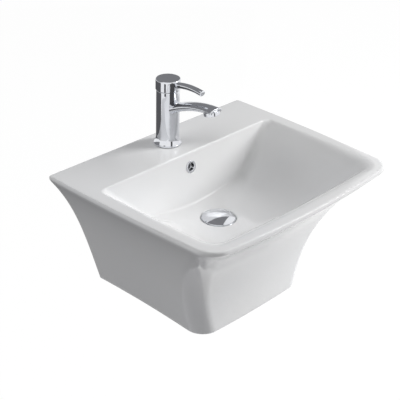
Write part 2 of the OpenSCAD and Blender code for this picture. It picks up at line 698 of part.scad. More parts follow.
// Fixing of the tap under the ledge: stud, horseshoe seal and plate, nut
module tap_stud() {
    color(brass) at_tap() translate([0, stud_y, -ledge_t - stud_l])
        cylinder(r = stud_r - 0.02, h = ledge_t + stud_l + stud_high);
}
clamp_r = tap_hole_r + 6.5;
clamp_seal_t = 3;
clamp_plate_t = 2;
module horseshoe(h) {
    difference() {
        cylinder(r = clamp_r, h = h);
        translate([0, inlet_y - 1, -1]) cylinder(r = 13, h = h + 2);
        translate([-13, -clamp_r - 5, -1]) cube([26, clamp_r + 5 + inlet_y - 1, h + 2]);
        translate([0, stud_y, -1]) cylinder(r = stud_r + 0.3, h = h + 2);
    }
}
module tap_clamp_seal() {
    color(rubber) at_tap() translate([0, 0, -ledge_t - clamp_seal_t]) horseshoe(clamp_seal_t);
}
module tap_clamp_plate() {
    color(steel) at_tap() translate([0, 0, -ledge_t - clamp_seal_t - clamp_plate_t]) horseshoe(clamp_plate_t);
}
tap_nut_l = 12;
tap_nut_z = -ledge_t - clamp_seal_t - clamp_plate_t - tap_nut_l;
module tap_nut() {
    color(brass) at_tap() translate([0, stud_y, tap_nut_z]) difference() {
        cylinder(r = stud_r * 1.8, h = tap_nut_l, $fn = 6);
        translate([0, 0, -1]) cylinder(r = stud_r + 0.02, h = tap_nut_l + 2);
    }
}

// Aerator at the end of the spout
aerator_top = -neck_l + 0.9;
module aerator_housing() {
    low = aerator_top - aerator_h;
    color(chrome) at_outlet() rotate_extrude() polygon([
        [thread_r - 1.5, low], [aerator_r - 1, low], [aerator_r, low + 1], [aerator_r, aerator_top - 0.8],
        [aerator_r - 0.8, aerator_top], [neck_r + 0.05, aerator_top], [neck_r + 0.05, -neck_l - 0.05],
        [thread_r + 0.05, -neck_l - 0.05], [thread_r + 0.05, low + 1.2], [thread_r - 1.5, low + 1.2]]);
}
insert_high = -neck_l - thread_l - 1;
module aerator_seal() {
    color(rubber) at_outlet() translate([0, 0, insert_high]) difference() {
        cylinder(r = thread_r - 0.2, h = 1);
        translate([0, 0, -1]) cylinder(r = outlet_bore, h = 3);
    }
}
module aerator_insert() {
    low = aerator_top - aerator_h + 1.2;
    color(plastic) at_outlet() difference() {
        union() {
            translate([0, 0, low]) cylinder(r = thread_r - 0.1, h = insert_high - low);
            translate([0, 0, low - 0.9]) cylinder(r = thread_r - 1.7, h = 1.5);
        }
        for (x = [-2 : 2], y = [-2 : 2]) if (norm([x, y]) < 2.6)
            translate([x * 3.3 - 1.1, y * 3.3 - 1.1, low - 2]) cube([2.2, 2.2, 20]);
    }
}

// Cartridge in the column: housing, seals, two discs, rotor, pin and stem.
// The lever tilts about a pivot below the top of the column, and its cap is hollowed by a ball
// round that pivot, so that the cap's back edge passes outside the column.
pivot_z = column_h - pivot_drop;
ball_z = pivot_z - stem_arm;
ball_r = 2.6;
socket_r = ball_r + 0.9;
disc_t = 4;
carrier_h = 4.5;
floor_t = 6;
moving_z = ball_z - ball_r - 0.5 - (disc_t - 0.8);
fixed_z = moving_z - disc_t;
cart_z = fixed_z - floor_t;
rotor_z = moving_z + disc_t + carrier_h + 0.4;
rotor_plate_t = 3.5;
cart_lip_z = rotor_z + rotor_plate_t + 0.1;
cart_in = cart_r - 2.3;
rotor_neck_r = 11;
cart_neck_r = cart_r - 4;
cart_high = column_h - 3.6;
port_r = 3;
module cartridge_housing() {
    color(plastic) at_tap() difference() {
        rotate_extrude() polygon([
            [0, cart_z], [cart_r, cart_z], [cart_r, nut_seat - 0.05], [cart_neck_r, nut_seat - 0.05],
            [cart_neck_r, cart_high], [rotor_neck_r + 0.1, cart_high], [rotor_neck_r + 0.1, cart_lip_z],
            [cart_in, cart_lip_z], [cart_in, fixed_z], [0, fixed_z]]);
        for (s = [-1, 1]) translate([s * inlet_x, inlet_y, cart_z - 1]) cylinder(r = port_r, h = floor_t + 2);
        translate([0, 9, cart_z - 1]) cylinder(r = port_r + 1, h = floor_t + 2);
        for (s = [-1, 1]) translate([s * inlet_x, inlet_y, cart_z - 1]) cylinder(r = port_r + 1.8, h = 2.2);
    }
}
module cartridge_seals() {
    color(rubber) for (s = [-1, 1]) at_tap() translate([s * inlet_x, inlet_y, cart_z]) difference() {
        cylinder(r = port_r + 1.75, h = 1.2);
        translate([0, 0, -1]) cylinder(r = port_r + 0.3, h = 4);
    }
}
module fixed_disc() {
    color(white) at_tap() translate([0, 0, fixed_z]) difference() {
        cylinder(r = cart_in - 0.1, h = disc_t);
        for (s = [-1, 1]) translate([s * inlet_x, inlet_y, -1]) cylinder(r = port_r, h = disc_t + 2);
        translate([0, 9, -1]) cylinder(r = port_r + 1, h = disc_t + 2);
    }
}
// The moving disc slides forwards on the fixed one as the lever lifts
disc_stroke = stem_arm * sin(lever_lift);
disc_r = cart_in - disc_stroke - 0.3;
module moving_disc() {
    color([0.82, 0.8, 0.76]) at_tap() translate([0, 0, moving_z]) difference() {
        union() {
            cylinder(r = disc_r, h = disc_t);
            translate([0, 0, disc_t]) cylinder(r = disc_r - 1, h = carrier_h);
        }
        translate([0, 0, disc_t - 0.8]) cylinder(r = socket_r, h = carrier_h + 2);
        translate([0, 2, -1]) cylinder(r = 4.5, h = disc_t - 1);
    }
}
pin_r = 1.5;
fork_w = stem_w + 0.8;
module cartridge_rotor() {
    color(plastic) at_tap() difference() {
        union() {
            translate([0, 0, rotor_z]) cylinder(r = cart_in - 0.1, h = rotor_plate_t);
            translate([0, 0, rotor_z]) cylinder(r = rotor_neck_r, h = cart_high + 0.4 - rotor_z);
        }
        // Slot for the stem, deeper to the front below the pin and to the back above it
        translate([-fork_w / 2, -9, rotor_z - 1]) cube([fork_w, 13.6, pivot_z + 1 - rotor_z]);
        translate([-fork_w / 2, -4.8, rotor_z]) cube([fork_w, 13.4, 40]);
        translate([-20, 0, pivot_z]) rotate([0, 90, 0]) cylinder(r = pin_r, h = 40);
    }
}
module lever_pin() {
    color(steel) at_tap() translate([-rotor_neck_r + 0.6, 0, pivot_z]) rotate([0, 90, 0])
        cylinder(r = pin_r - 0.02, h = 2 * rotor_neck_r - 1.2);
}
cap_low = column_h + cap_gap;
cap_top = cap_low + cap_h;
stem_top = cap_top - 3;
module cartridge_stem() {
    color(steel) at_tap() difference() {
        union() {
            translate([-stem_w / 2, -stem_w / 2, pivot_z - 4]) cube([stem_w, stem_w, stem_top - pivot_z + 4]);
            translate([0, 0, ball_z]) cylinder(r = 1.9, h = stem_arm - 3);
            translate([0, 0, ball_z]) sphere(r = ball_r);
        }
        translate([-20, 0, pivot_z]) rotate([0, 90, 0]) cylinder(r = pin_r + 0.03, h = 40);
    }
}
module cartridge_nut() {
    color(brass) at_tap() translate([0, 0, nut_seat]) difference() {
        cylinder(r = nut_r, h = column_h - nut_seat - 1.2);
        translate([0, 0, -1]) cylinder(r = cart_neck_r + 0.1, h = 20);
    }
}
// Chrome dome over the nut, a slice of a ball centred on the lever's pivot
dome_low = column_h - 1.1 - pivot_z;
dome_out = norm([nut_r - 0.05, dome_low]);
dome_in = dome_out - 1.6;
dome_cut = dome_low + 4.6;
function arc_points(r, from, to, n) =
    [for (i = [0 : n]) let (a = mix(asin(from / r), asin(to / r), i / n)) [r * cos(a), r * sin(a)]];
module cartridge_dome() {
    color(chrome) at_tap() translate([0, 0, pivot_z]) rotate_extrude() polygon(concat(
        arc_points(dome_out, dome_low, dome_cut, 8),
        arc_points(dome_in, dome_cut, dome_low, 8)));
}

// Lever: cap over the dome, arm screwed into its front, grub screw on the stem
cap_cavity = norm([column_r, pivot_drop]) + 0.65;
cap_round = 2.2;
lever_top_at = 63;
lever_arch_r = 143;
lever_high = cap_top - 1.7;
function lever_h(s) = lever_high - pow(s - lever_top_at, 2) / (2 * lever_arch_r);
function lever_slope(s) = atan((lever_top_at - s) / lever_arch_r);
lever_from = cap_r - 4;
spigot_s = cap_r - 7;
module lever_cap() {
    color(chrome) at_tap() difference() {
        rotate_extrude() polygon(concat(
            [[0, cap_low], [cap_r - 0.3, cap_low], [cap_r, cap_low + 0.3]],
            [for (i = [0 : 5]) [cap_r - cap_round + cap_round * cos(18 * i),
                                cap_top - cap_round + cap_round * sin(18 * i)]],
            [[0, cap_top]]));
        translate([0, 0, pivot_z]) sphere(r = cap_cavity);
        translate([-stem_w / 2 - 0.05, -stem_w / 2 - 0.05, pivot_z])
            cube([stem_w + 0.1, stem_w + 0.1, stem_top - pivot_z + 0.05]);
        lever_socket();
        grub_hole(grub_r);
    }
}
socket_bore = 3;
module lever_socket() {
    translate([0, -spigot_s, lever_h(spigot_s)]) rotate([90 - lever_slope(spigot_s), 0, 0])
        cylinder(r = socket_bore, h = 20);
}
function lever_ring(f, inset = 0) = let (s = mix(lever_from, lever_reach, f))
    bar_ring(s, lever_h(s), lever_slope(s), mix(lever_w, lever_end_w, f) - 2 * inset,
             mix(lever_t, lever_end_t, f) - 2 * inset, 16);
module lever_arm() {
    color(chrome) at_tap() {
        difference() {
            loft(concat([for (i = [0 : 9]) lever_ring(0.985 * i / 9)],
                        [lever_ring(0.996, 0.4), lever_ring(1, 1.2)]));
            translate([0, 0, cap_low - 20]) cylinder(r = cap_r + 0.02, h = 60);
        }
        translate([0, -spigot_s, lever_h(spigot_s)]) rotate([90 - lever_slope(spigot_s), 0, 0])
            translate([0, 0, 0.4]) cylinder(r = socket_bore - 0.05, h = cap_r - spigot_s + 4);
    }
}
grub_r = 2.5;
grub_z = cap_top - 6.3;
module grub_hole(r) {
    translate([0, stem_w / 2 + 0.05, grub_z]) rotate([-90, 0, 0]) cylinder(r = r, h = 40);
}
module lever_grub_screw() {
    color(steel) at_tap() difference() {
        translate([0, stem_w / 2 + 0.05, grub_z]) rotate([-90, 0, 0]) cylinder(r = grub_r - 0.02, h = 12);
        translate([0, stem_w / 2 + 8, grub_z]) rotate([-90, 0, 0]) cylinder(r = 1.4, h = 10, $fn = 6);
    }
}

basin_body();
basin_shroud();
overflow_channel();
wall_bushes();
overflow_ring();
waste_body();
waste_top_seal();
waste_cone_seal();
waste_slip_washer();
waste_nut();
click_housing();
click_spring();
plug_stem();
plug_cover();
plug_seal();
tap_body();
tap_spout();
tap_base_ring();
tap_base_seal();
tap_stud();
tap_clamp_seal();
tap_clamp_plate();
tap_nut();
aerator_housing();
aerator_insert();
aerator_seal();
cartridge_housing();
cartridge_seals();
fixed_disc();
moving_disc();
cartridge_rotor();
lever_pin();
cartridge_stem();
cartridge_nut();
cartridge_dome();
lever_cap();
lever_arm();
lever_grub_screw();
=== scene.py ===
import json
import math

import bpy
import numpy as np
from mathutils import Matrix


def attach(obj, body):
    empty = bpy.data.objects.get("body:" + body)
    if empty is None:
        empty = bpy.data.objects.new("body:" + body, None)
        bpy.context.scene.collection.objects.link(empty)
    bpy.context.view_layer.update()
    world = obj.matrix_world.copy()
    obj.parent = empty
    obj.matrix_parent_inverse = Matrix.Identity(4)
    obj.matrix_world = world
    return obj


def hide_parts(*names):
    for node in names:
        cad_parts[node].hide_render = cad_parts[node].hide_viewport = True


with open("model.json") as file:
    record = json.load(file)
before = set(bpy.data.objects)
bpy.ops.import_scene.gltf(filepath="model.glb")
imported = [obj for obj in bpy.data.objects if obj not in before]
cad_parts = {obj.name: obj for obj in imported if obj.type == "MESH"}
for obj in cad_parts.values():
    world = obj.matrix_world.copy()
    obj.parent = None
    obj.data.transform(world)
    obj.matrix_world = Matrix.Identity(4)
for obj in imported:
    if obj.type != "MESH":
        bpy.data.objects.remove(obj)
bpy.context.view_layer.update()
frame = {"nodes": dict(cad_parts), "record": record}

# Lengths are millimetres in the part's own frame and become metres when a mesh is made.
# X runs along the wall, Y points into it and Z up. The rim lies rimZ above the wall fixings.
rimZ = 70.0


# Helpers for numbers
def mix(a, b, t):
    return a + (b - a) * t


def ease(t):
    # smooth step from 0 to 1
    c = np.clip(t, 0, 1)
    return c * c * (3 - 2 * c)


def unit(v):
    return v / np.linalg.norm(v, axis=-1, keepdims=True)


def place(x=0, y=0, z=0, turnX=0, turnZ=0):
    # a turn about Z and then about X, in degrees, and then a shift
    turn = Matrix.Rotation(math.radians(turnX), 4, "X") @ Matrix.Rotation(math.radians(turnZ), 4, "Z")
    return np.array(Matrix.Translation((x, y, z)) @ turn)


def moved(points, matrix):
    return points @ matrix[:3, :3].T + matrix[:3, 3]


def bendRings(a, b, c, steps):
    # rings on the quadratic curve that rounds corner b between a and c, both ends included
    t = np.linspace(0, 1, steps)[:, None, None]
    return a * (1 - t) ** 2 + b * 2 * t * (1 - t) + c * t ** 2


def straightRings(a, b, steps):
    # rings between a and b, both left out
    t = np.linspace(0, 1, steps + 2)[1:-1, None, None]
    return mix(a, b, t)


def softened(corners, guard=0.35, steps=6):
    # A line through corners (r, z, rounding) with each corner turned into an arc,
    # and a guard point on the straight stretch each side of it that keeps the shading flat there.
    line = []
    count = len(corners)
    for i, (r, z, rounding) in enumerate(corners):
        here = np.array([r, z], float)
        if rounding <= 0:
            line.append(here)
            continue
        before = unit(np.array(corners[i - 1][:2], float) - here)
        after = unit(np.array(corners[(i + 1) % count][:2], float) - here)
        half = math.acos(np.clip(before @ after, -1, 1)) / 2
        run = rounding / math.tan(half)
        middle = here + unit(before + after) * rounding / math.sin(half)
        start, end = here + before * run, here + after * run
        sweep = math.pi - 2 * half
        t = np.linspace(0, 1, steps)[:, None]
        arc = np.sin((1 - t) * sweep) * (start - middle) + np.sin(t * sweep) * (end - middle)
        line += [start + before * guard, *(middle + arc / np.sin(sweep)), end + after * guard]
    return np.array(line)


# Helpers for meshes
def gridFaces(rows, columns, closedRows=False):
    # quads between neighbouring rings of points; the last ring joins the first when closedRows
    row = np.arange(rows if closedRows else rows - 1)[:, None]
    column = np.arange(columns)[None, :]
    up, across = (row + 1) % rows, (column + 1) % columns
    quads = [row * columns + column, up * columns + column, up * columns + across, row * columns + across]
    return np.stack(quads, axis=-1).reshape(-1, 4)


def newObject(name, points, faces):
    mesh = bpy.data.meshes.new(name)
    mesh.from_pydata(points * 0.001, [], faces)
    thing = bpy.data.objects.new(name, mesh)
    bpy.context.scene.collection.objects.link(thing)
    return thing


def meshObject(name, points, quads, triangles=None, sharp=32):
    # Puts points (mm) and faces in a mesh, turns the faces outwards by the sign of the volume
    triangles = np.zeros((0, 3), int) if triangles is None else triangles
    halves = np.concatenate([quads[:, [0, 1, 2]], quads[:, [0, 2, 3]], triangles])
    a, b, c = points[halves[:, 0]], points[halves[:, 1]], points[halves[:, 2]]
    if np.sum(a * np.cross(b, c)) < 0:
        quads, triangles = quads[:, ::-1], triangles[:, ::-1]
    thing = newObject(name, points, quads.tolist() + triangles.tolist())
    thing.data.validate()
    smooth(thing.data, sharp)
    return thing


def smooth(mesh, sharp):
    mesh.shade_smooth()
    mesh.set_sharp_from_angle(angle=math.radians(sharp))


def skin(name, rings, poles=None, closedRows=False, sharp=32):
    # A surface over rings of points. Open ends are closed by triangles round a pole point.
    rings = np.asarray(rings, float)
    rows, columns = rings.shape[:2]
    points = rings.reshape(-1, 3)
    quads = gridFaces(rows, columns, closedRows)
    if closedRows:
        return meshObject(name, points, quads, sharp=sharp)
    poles = [rings[0].mean(0), rings[-1].mean(0)] if poles is None else poles
    here = np.arange(columns)
    there = (here + 1) % columns
    base = (rows - 1) * columns
    first = np.column_stack([here, there, np.full(columns, len(points))])
    last = np.column_stack([base + there, base + here, np.full(columns, len(points) + 1)])
    return meshObject(name, np.vstack([points, poles]), quads, np.vstack([first, last]), sharp)


def turned(name, line, matrix, sides=128, closed=False, sharp=32, thread=None):
    # A line of (r, z) carried round the Z axis. With thread = (pitch, depth, low, high) the radius
    # between those heights drops by depth times a saw of z / pitch less the turn, so it winds.
    line = np.asarray(line, float)
    angle = np.linspace(0, 2 * math.pi, sides, endpoint=False)
    radius = np.repeat(line[:, :1], sides, axis=1)
    height = np.repeat(line[:, 1:], sides, axis=1)
    if thread:
        pitch, depth, low, high = thread
        phase = (height / pitch - angle[None, :] / (2 * math.pi)) % 1
        fade = ease((height - low) / pitch) * ease((high - height) / pitch)
        wall = radius > radius.max() - 0.01
        radius = radius - depth * np.abs(2 * phase - 1) * fade * wall
    rings = np.stack([radius * np.cos(angle), radius * np.sin(angle), height], axis=-1)
    ends = [[0, 0, line[0, 1]], [0, 0, line[-1, 1]]]
    return skin(name, moved(rings, matrix), moved(np.array(ends), matrix), closed, sharp)


def rod(radius, low, high, matrix, sides=64):
    # a plain cutter or boss between two heights on the matrix's Z axis
    return turned("rod", [[radius, low], [radius, high]], matrix, sides)


def bar(low, high, matrix):
    # a straight block between two corners
    x0, y0, z0 = low
    x1, y1, z1 = high
    rings = [[[x0, y0, z], [x1, y0, z], [x1, y1, z], [x0, y1, z]] for z in (z0, z1)]
    return skin("bar", moved(np.array(rings, float), matrix))


def plate(line, width):
    # a closed line of (y, z) given a width along X, evenly to both sides
    line = np.asarray(line, float)
    count = len(line)
    points = np.vstack([np.column_stack([np.full(count, x), line]) for x in (-width / 2, width / 2)])
    sides = [[i, (i + 1) % count, count + (i + 1) % count, count + i] for i in range(count)]
    thing = newObject("plate", points, sides + [list(range(count))[::-1], list(range(count, 2 * count))])
    mesh = thing.data
    volume = sum(mesh.vertices[f.vertices[0]].co.dot(f.normal) * f.area for f in mesh.polygons)
    if volume < 0:
        mesh.flip_normals()
    return thing


def combine(thing, tools, operation="DIFFERENCE", sharp=32):
    # joins, cuts or keeps the overlap with each tool in turn and then deletes the tools
    for tool in tools:
        step = thing.modifiers.new(operation.title(), "BOOLEAN")
        step.operation = operation
        step.solver = "MANIFOLD"
        step.object = tool
    depsgraph = bpy.context.evaluated_depsgraph_get()
    result = bpy.data.meshes.new_from_object(thing.evaluated_get(depsgraph))
    thing.modifiers.clear()
    old = thing.data
    thing.data = result
    result.name = thing.name
    bpy.data.meshes.remove(old)
    for tool in tools:
        bpy.data.objects.remove(tool)
    smooth(result, sharp)
    return thing


def finishPiece(thing, *replaced, body="basin", slot="chrome"):
    # gives a new piece the material kept for slot and its body, and hides the CAD nodes it stands for
    thing.data.materials.clear()
    thing.data.materials.append(materials[slot])
    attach(thing, body)
    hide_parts(*replaced)
    return thing


# Helpers for node trees
def addNode(tree, kind, inputs=None, **settings):
    # one node; an input that is a socket is linked, any other is a value
    made = tree.nodes.new(kind)
    for key, value in settings.items():
        setattr(made, key, value)
    for key, value in (inputs or {}).items():
        socket = made.inputs[key]
        if isinstance(value, bpy.types.NodeSocket):
            tree.links.new(value, socket)
        else:
            socket.default_value = value
    return made


def feed(tree, node, **values):
    # links sockets to a node's inputs
    for key, value in values.items():
        tree.links.new(value, node.inputs[key.replace("_", " ")])


def effectGroup(name, inputs, outputs):
    # an empty node group with float inputs {name: default} and outputs {name: socket kind}
    group = bpy.data.node_groups.new(name, "ShaderNodeTree")
    for label, default in inputs.items():
        socket = group.interface.new_socket(label, in_out="INPUT", socket_type="NodeSocketFloat")
        socket.default_value = default
    for label, kind in outputs.items():
        group.interface.new_socket(label, in_out="OUTPUT", socket_type=kind)
    return group, group.nodes.new("NodeGroupInput"), group.nodes.new("NodeGroupOutput")


def objectCoords(tree):
    return addNode(tree, "ShaderNodeTexCoord").outputs["Object"]


def noise(tree, coords, scale, detail=3, rough=0.5):
    return addNode(tree, "ShaderNodeTexNoise", {
        "Vector": coords, "Scale": scale, "Detail": detail, "Roughness": rough}).outputs["Fac"]


def calc(tree, operation, *values):
    # one step of arithmetic on sockets or plain numbers
    return addNode(tree, "ShaderNodeMath", dict(enumerate(values)), operation=operation).outputs[0]


def ramp(tree, value, low, high, toLow=0.0, toHigh=1.0):
    # value between low and high spread over toLow to toHigh, and held at the ends
    return addNode(tree, "ShaderNodeMapRange", {
        "Value": value, "From Min": low, "From Max": high, "To Min": toLow, "To Max": toHigh},
        clamp=True).outputs["Result"]


# Wipe marks: broad soft patches and fine streaks that change how sharp a reflection is
def makeWipeMarks():
    group, given, out = effectGroup("wipeMarks", {"Size": 20, "Polished": 0.05, "Dull": 0.12},
                                    {"Roughness": "NodeSocketFloat", "Mask": "NodeSocketFloat"})
    coords = objectCoords(group)
    broad = noise(group, coords, given.outputs["Size"], 4, 0.55)
    stretched = addNode(group, "ShaderNodeMapping", {"Vector": coords, "Scale": (260, 260, 24)})
    streaks = noise(group, stretched.outputs["Vector"], 1, 2, 0.6)
    both = calc(group, "MULTIPLY", ramp(group, broad, 0.42, 0.7), ramp(group, streaks, 0.35, 0.75))
    level = ramp(group, both, 0, 1, given.outputs["Polished"], given.outputs["Dull"])
    feed(group, out, Roughness=level, Mask=both)
    return group


# Fine grain: a small bump for cast, moulded and ground surfaces
def makeGrain():
    group, given, out = effectGroup("grain", {"Size": 900, "Height": 0.01, "Waves": 14, "Wave Height": 0.0},
                                    {"Normal": "NodeSocketVector", "Height": "NodeSocketFloat"})
    coords = objectCoords(group)
    fine = noise(group, coords, given.outputs["Size"], 3, 0.6)
    broad = noise(group, coords, given.outputs["Waves"], 1, 0.4)
    waves = calc(group, "MULTIPLY", broad, given.outputs["Wave Height"])
    height = calc(group, "MULTIPLY_ADD", fine, given.outputs["Height"], waves)
    # heights are given in millimetres
    bump = addNode(group, "ShaderNodeBump", {"Height": height, "Distance": 0.001, "Strength": 1.0})
    feed(group, out, Normal=bump.outputs["Normal"], Height=height)
    return group


wipeMarks = makeWipeMarks()
grain = makeGrain()


def useGroup(tree, group, **values):
    inputs = {key.replace("_", " "): value for key, value in values.items()}
    return addNode(tree, "ShaderNodeGroup", inputs, node_tree=group)


def newMaterial(name, color, **sockets):
    # a material with a Principled shader whose plain values sit on its own sockets
    material = bpy.data.materials.new(name)
    material.use_nodes = True
    tree = material.node_tree
    shader = tree.nodes["Principled BSDF"]
    shader.inputs["Base Color"].default_value = (*color, 1)
    for key, value in sockets.items():
        shader.inputs[key.replace("_", " ")].default_value = value
    material.diffuse_color = (*color, 1)
    return material, tree


def blendColors(tree, factor, a, b):
    # a and b are sockets or plain (red, green, blue)
    a, b = (c if isinstance(c, bpy.types.NodeSocket) else (*c, 1) for c in (a, b))
    inputs = {"Factor": factor, "A": a, "B": b}
    return addNode(tree, "ShaderNodeMix", inputs, data_type="RGBA").outputs["Result"]


def dress(material, color, rough, bumps):
    # links a color, a roughness and the normal of a bump or grain node to the material's shader
    tree = material.node_tree
    shader = tree.nodes["Principled BSDF"]
    feed(tree, shader, Base_Color=color, Roughness=rough, Normal=bumps.outputs["Normal"])
    return material


# White glaze over fired clay, bare on the back where the casting meets the wall
glazeLook = {
    "white": (0.832, 0.838, 0.848),
    "warm": (0.832, 0.833, 0.832),
    "bareClay": (0.80, 0.77, 0.70),
    "bareBehind": -0.0015,  # Y in metres where the glaze ends, just in front of the wall
    "ragged": 0.0016,
    "waveHeight": 0.05,     # millimetres
    "peelHeight": 0.002,
}


def makeGlaze():
    look = glazeLook
    material, tree = newMaterial("whiteGlaze", look["white"], IOR=1.52)
    coords = objectCoords(tree)
    tone = ramp(tree, noise(tree, coords, 5, 2), 0.3, 0.7)
    glaze = blendColors(tree, tone, look["white"], look["warm"])
    depth = addNode(tree, "ShaderNodeSeparateXYZ", {"Vector": coords}).outputs["Y"]
    edge = calc(tree, "MULTIPLY_ADD", noise(tree, coords, 90, 3), look["ragged"], depth)
    bare = ramp(tree, edge, look["bareBehind"], look["bareBehind"] + 0.0006)
    clayTone = ramp(tree, noise(tree, coords, 140, 4, 0.7), 0.3, 0.75)
    clay = blendColors(tree, clayTone, look["bareClay"], [c * 0.86 for c in look["bareClay"]])
    wipes = useGroup(tree, wipeMarks, Size=9, Polished=0.07, Dull=0.13)
    rough = ramp(tree, bare, 0, 1, wipes.outputs["Roughness"], 0.8)
    waves = useGroup(tree, grain, Size=420, Height=look["peelHeight"], Waves=16,
                     Wave_Height=look["waveHeight"])
    return dress(material, blendColors(tree, bare, glaze, clay), rough, waves)


chromeLook = {"plate": (0.77, 0.785, 0.82), "film": (0.67, 0.685, 0.72)}


def makeChrome():
    # polished plate with a faint film where it was wiped
    material, tree = newMaterial("polishedChrome", chromeLook["plate"], Metallic=1.0)
    wipes = useGroup(tree, wipeMarks, Size=38, Polished=0.035, Dull=0.11)
    color = blendColors(tree, wipes.outputs["Mask"], chromeLook["plate"], chromeLook["film"])
    ripple = useGroup(tree, grain, Size=1500, Height=0.0006, Waves=60, Wave_Height=0.006)
    return dress(material, color, wipes.outputs["Roughness"], ripple)


def makeTurnedMetal(name, color, dark, polished, dull, lines):
    # machined metal: turning lines across Z, darker patches where hands and water leave marks
    material, tree = newMaterial(name, color, Metallic=1.0)
    coords = objectCoords(tree)
    wipes = useGroup(tree, wipeMarks, Size=60, Polished=polished, Dull=dull)
    patches = ramp(tree, noise(tree, coords, 110, 4, 0.6), 0.35, 0.7)
    shade = blendColors(tree, patches, color, dark)
    flat = addNode(tree, "ShaderNodeMapping", {"Vector": coords, "Scale": (120, 120, lines)})
    turning = noise(tree, flat.outputs["Vector"], 1, 2)
    bump = addNode(tree, "ShaderNodeBump", {"Height": turning, "Distance": 0.00003, "Strength": 1.0})
    return dress(material, shade, wipes.outputs["Roughness"], bump)


def makeMoulded(name, color, marked, polished, dull, grainSize, grainHeight):
    # moulded plastic, rubber or ground ceramic: fine grain and faint patches
    material, tree = newMaterial(name, color)
    patches = ramp(tree, noise(tree, objectCoords(tree), 70, 4, 0.6), 0.35, 0.7)
    shade = blendColors(tree, patches, color, marked)
    wipes = useGroup(tree, wipeMarks, Size=50, Polished=polished, Dull=dull)
    texture = useGroup(tree, grain, Size=grainSize, Height=grainHeight)
    return dress(material, shade, wipes.outputs["Roughness"], texture)


materials = {
    "glaze": makeGlaze(),
    "chrome": makeChrome(),
    "brass": makeTurnedMetal("turnedBrass", (0.74, 0.56, 0.27), (0.58, 0.41, 0.19), 0.22, 0.4, 5000),
    "steel": makeTurnedMetal("plainSteel", (0.58, 0.58, 0.59), (0.45, 0.45, 0.46), 0.22, 0.36, 3500),
    "plastic": makeMoulded("mouldedPlastic", (0.74, 0.74, 0.72), (0.68, 0.67, 0.64), 0.32, 0.5, 1400, 0.012),
    "rubber": makeMoulded("blackRubber", (0.035, 0.035, 0.037), (0.06, 0.06, 0.06), 0.5, 0.7, 1800, 0.02),
    "disc": makeMoulded("groundCeramic", (0.78, 0.75, 0.68), (0.72, 0.69, 0.62), 0.25, 0.38, 2600, 0.004),
}
print("materials made:", len(materials))

# The casting: outline of the rim and the foot, the bowl, the collar round the waste
basin = {
    "rimWidth": 496, "rimFrontWidth": 476, "rimDepth": 410, "rimEdge": 9,
    "sideBow": 5, "frontBow": 16, "rimCorner": 42, "rimSide": 27, "rimFront": 32, "edgeRound": 5.5,
    "height": 268, "footWidth": 271, "footFrontWidth": 281, "footDepth": 287, "footCorner": 36,
    "footRound": 6, "footBow": -4, "footBulge": 4, "sideTaper": 0.71, "sideFlare": 3.8, "frontFlare": 2.4,
    "shroudWall": 10, "backWall": 12, "wallCorner": 3,
    "ledgeDepth": 107, "ledgeThick": 18, "bowlDepth": 97.5, "backLean": 19, "sideRun": 91, "frontRun": 74,
    "bowlBackCorner": 14, "bowlFrontCorner": 32, "floorCorner": 34, "floorRise": 15.5,
    "wasteY": 187, "floorDrop": 9.5, "bowlWall": 10, "collarHeight": 44, "wasteHole": 23,
    "pipeGapWidth": 190, "pipeGapHeight": 118, "pipeGapCorner": 22,
    "fixingSpacing": 280, "fixingHole": 8,
    "overflowDrop": 28, "overflowHole": 9.5, "channelWidth": 30, "channelDepth": 15, "channelWall": 7,
    "tapHole": 17.5,
}
# points along half an outline: back, back corner, side, front corner, front
ringPoints = (40, 12, 56, 26, 40)

tapY = 49.6
wasteFlange = 32.8
wasteZ = -basin["bowlDepth"] - basin["floorDrop"]
seatRadius = wasteFlange + 1.2
seatDrop = 4.5
# a groove in the collar's bore takes the overflow's water round the waste
collarLow = wasteZ - 5 - basin["collarHeight"]
grooveLow, grooveHigh = collarLow + 12, collarLow + 26
grooveRadius = seatRadius - 3


def outline(width, k, near, far, backCorner, frontCorner, bow, bulge, z):
    # Plan outline with a straight back. The half width goes from width at the back line to width times k
    # at the front, t = 0 to 1, plus bow times 4 t (1 - t). The front is a parabola that bulges by bulge
    # in the middle, and both corners are quarters of ellipses.
    backN, cornerN, sideN, frontCornerN, frontN = ringPoints

    def side(y):
        t = (-y - near) / (far - near)
        return width * (1 + (k - 1) * t) + bow * 4 * t * (1 - t)

    def front(x):
        return -far + bulge * (x / (width * k)) ** 2

    cornerX, cornerY = width - backCorner, -near - backCorner
    frontY = -far + bulge + frontCorner
    frontX = side(frontY) - frontCorner
    turn = np.radians(np.linspace(90, 0, cornerN + 1))
    frontTurn = np.radians(np.linspace(0, 90, frontCornerN + 1))
    sideY = np.linspace(cornerY, frontY, sideN + 1)[1:-1]
    lineX = frontX * (1 - np.arange(1, frontN + 1) / frontN)
    backX = cornerX * np.arange(backN) / backN
    x = np.concatenate([backX, cornerX + (side(cornerY) - cornerX) * np.cos(turn), side(sideY),
                        frontX + frontCorner * np.cos(frontTurn), lineX])
    y = np.concatenate([np.full(backN, -near), cornerY + backCorner * np.sin(turn), sideY,
                        frontY - (frontY - front(frontX)) * np.sin(frontTurn), front(lineX)])
    x = np.concatenate([-x, x[-2:0:-1]])
    y = np.concatenate([y, y[-2:0:-1]])
    return np.column_stack([x, y, np.full(len(x), z)])


def halfWidth(u):
    # foot to rim by a share that is sideTaper times u plus the rest times u to the power sideFlare
    b = basin
    share = b["sideTaper"] * u + (1 - b["sideTaper"]) * u ** b["sideFlare"]
    return mix(b["footWidth"] / 2, b["rimWidth"] / 2, share)


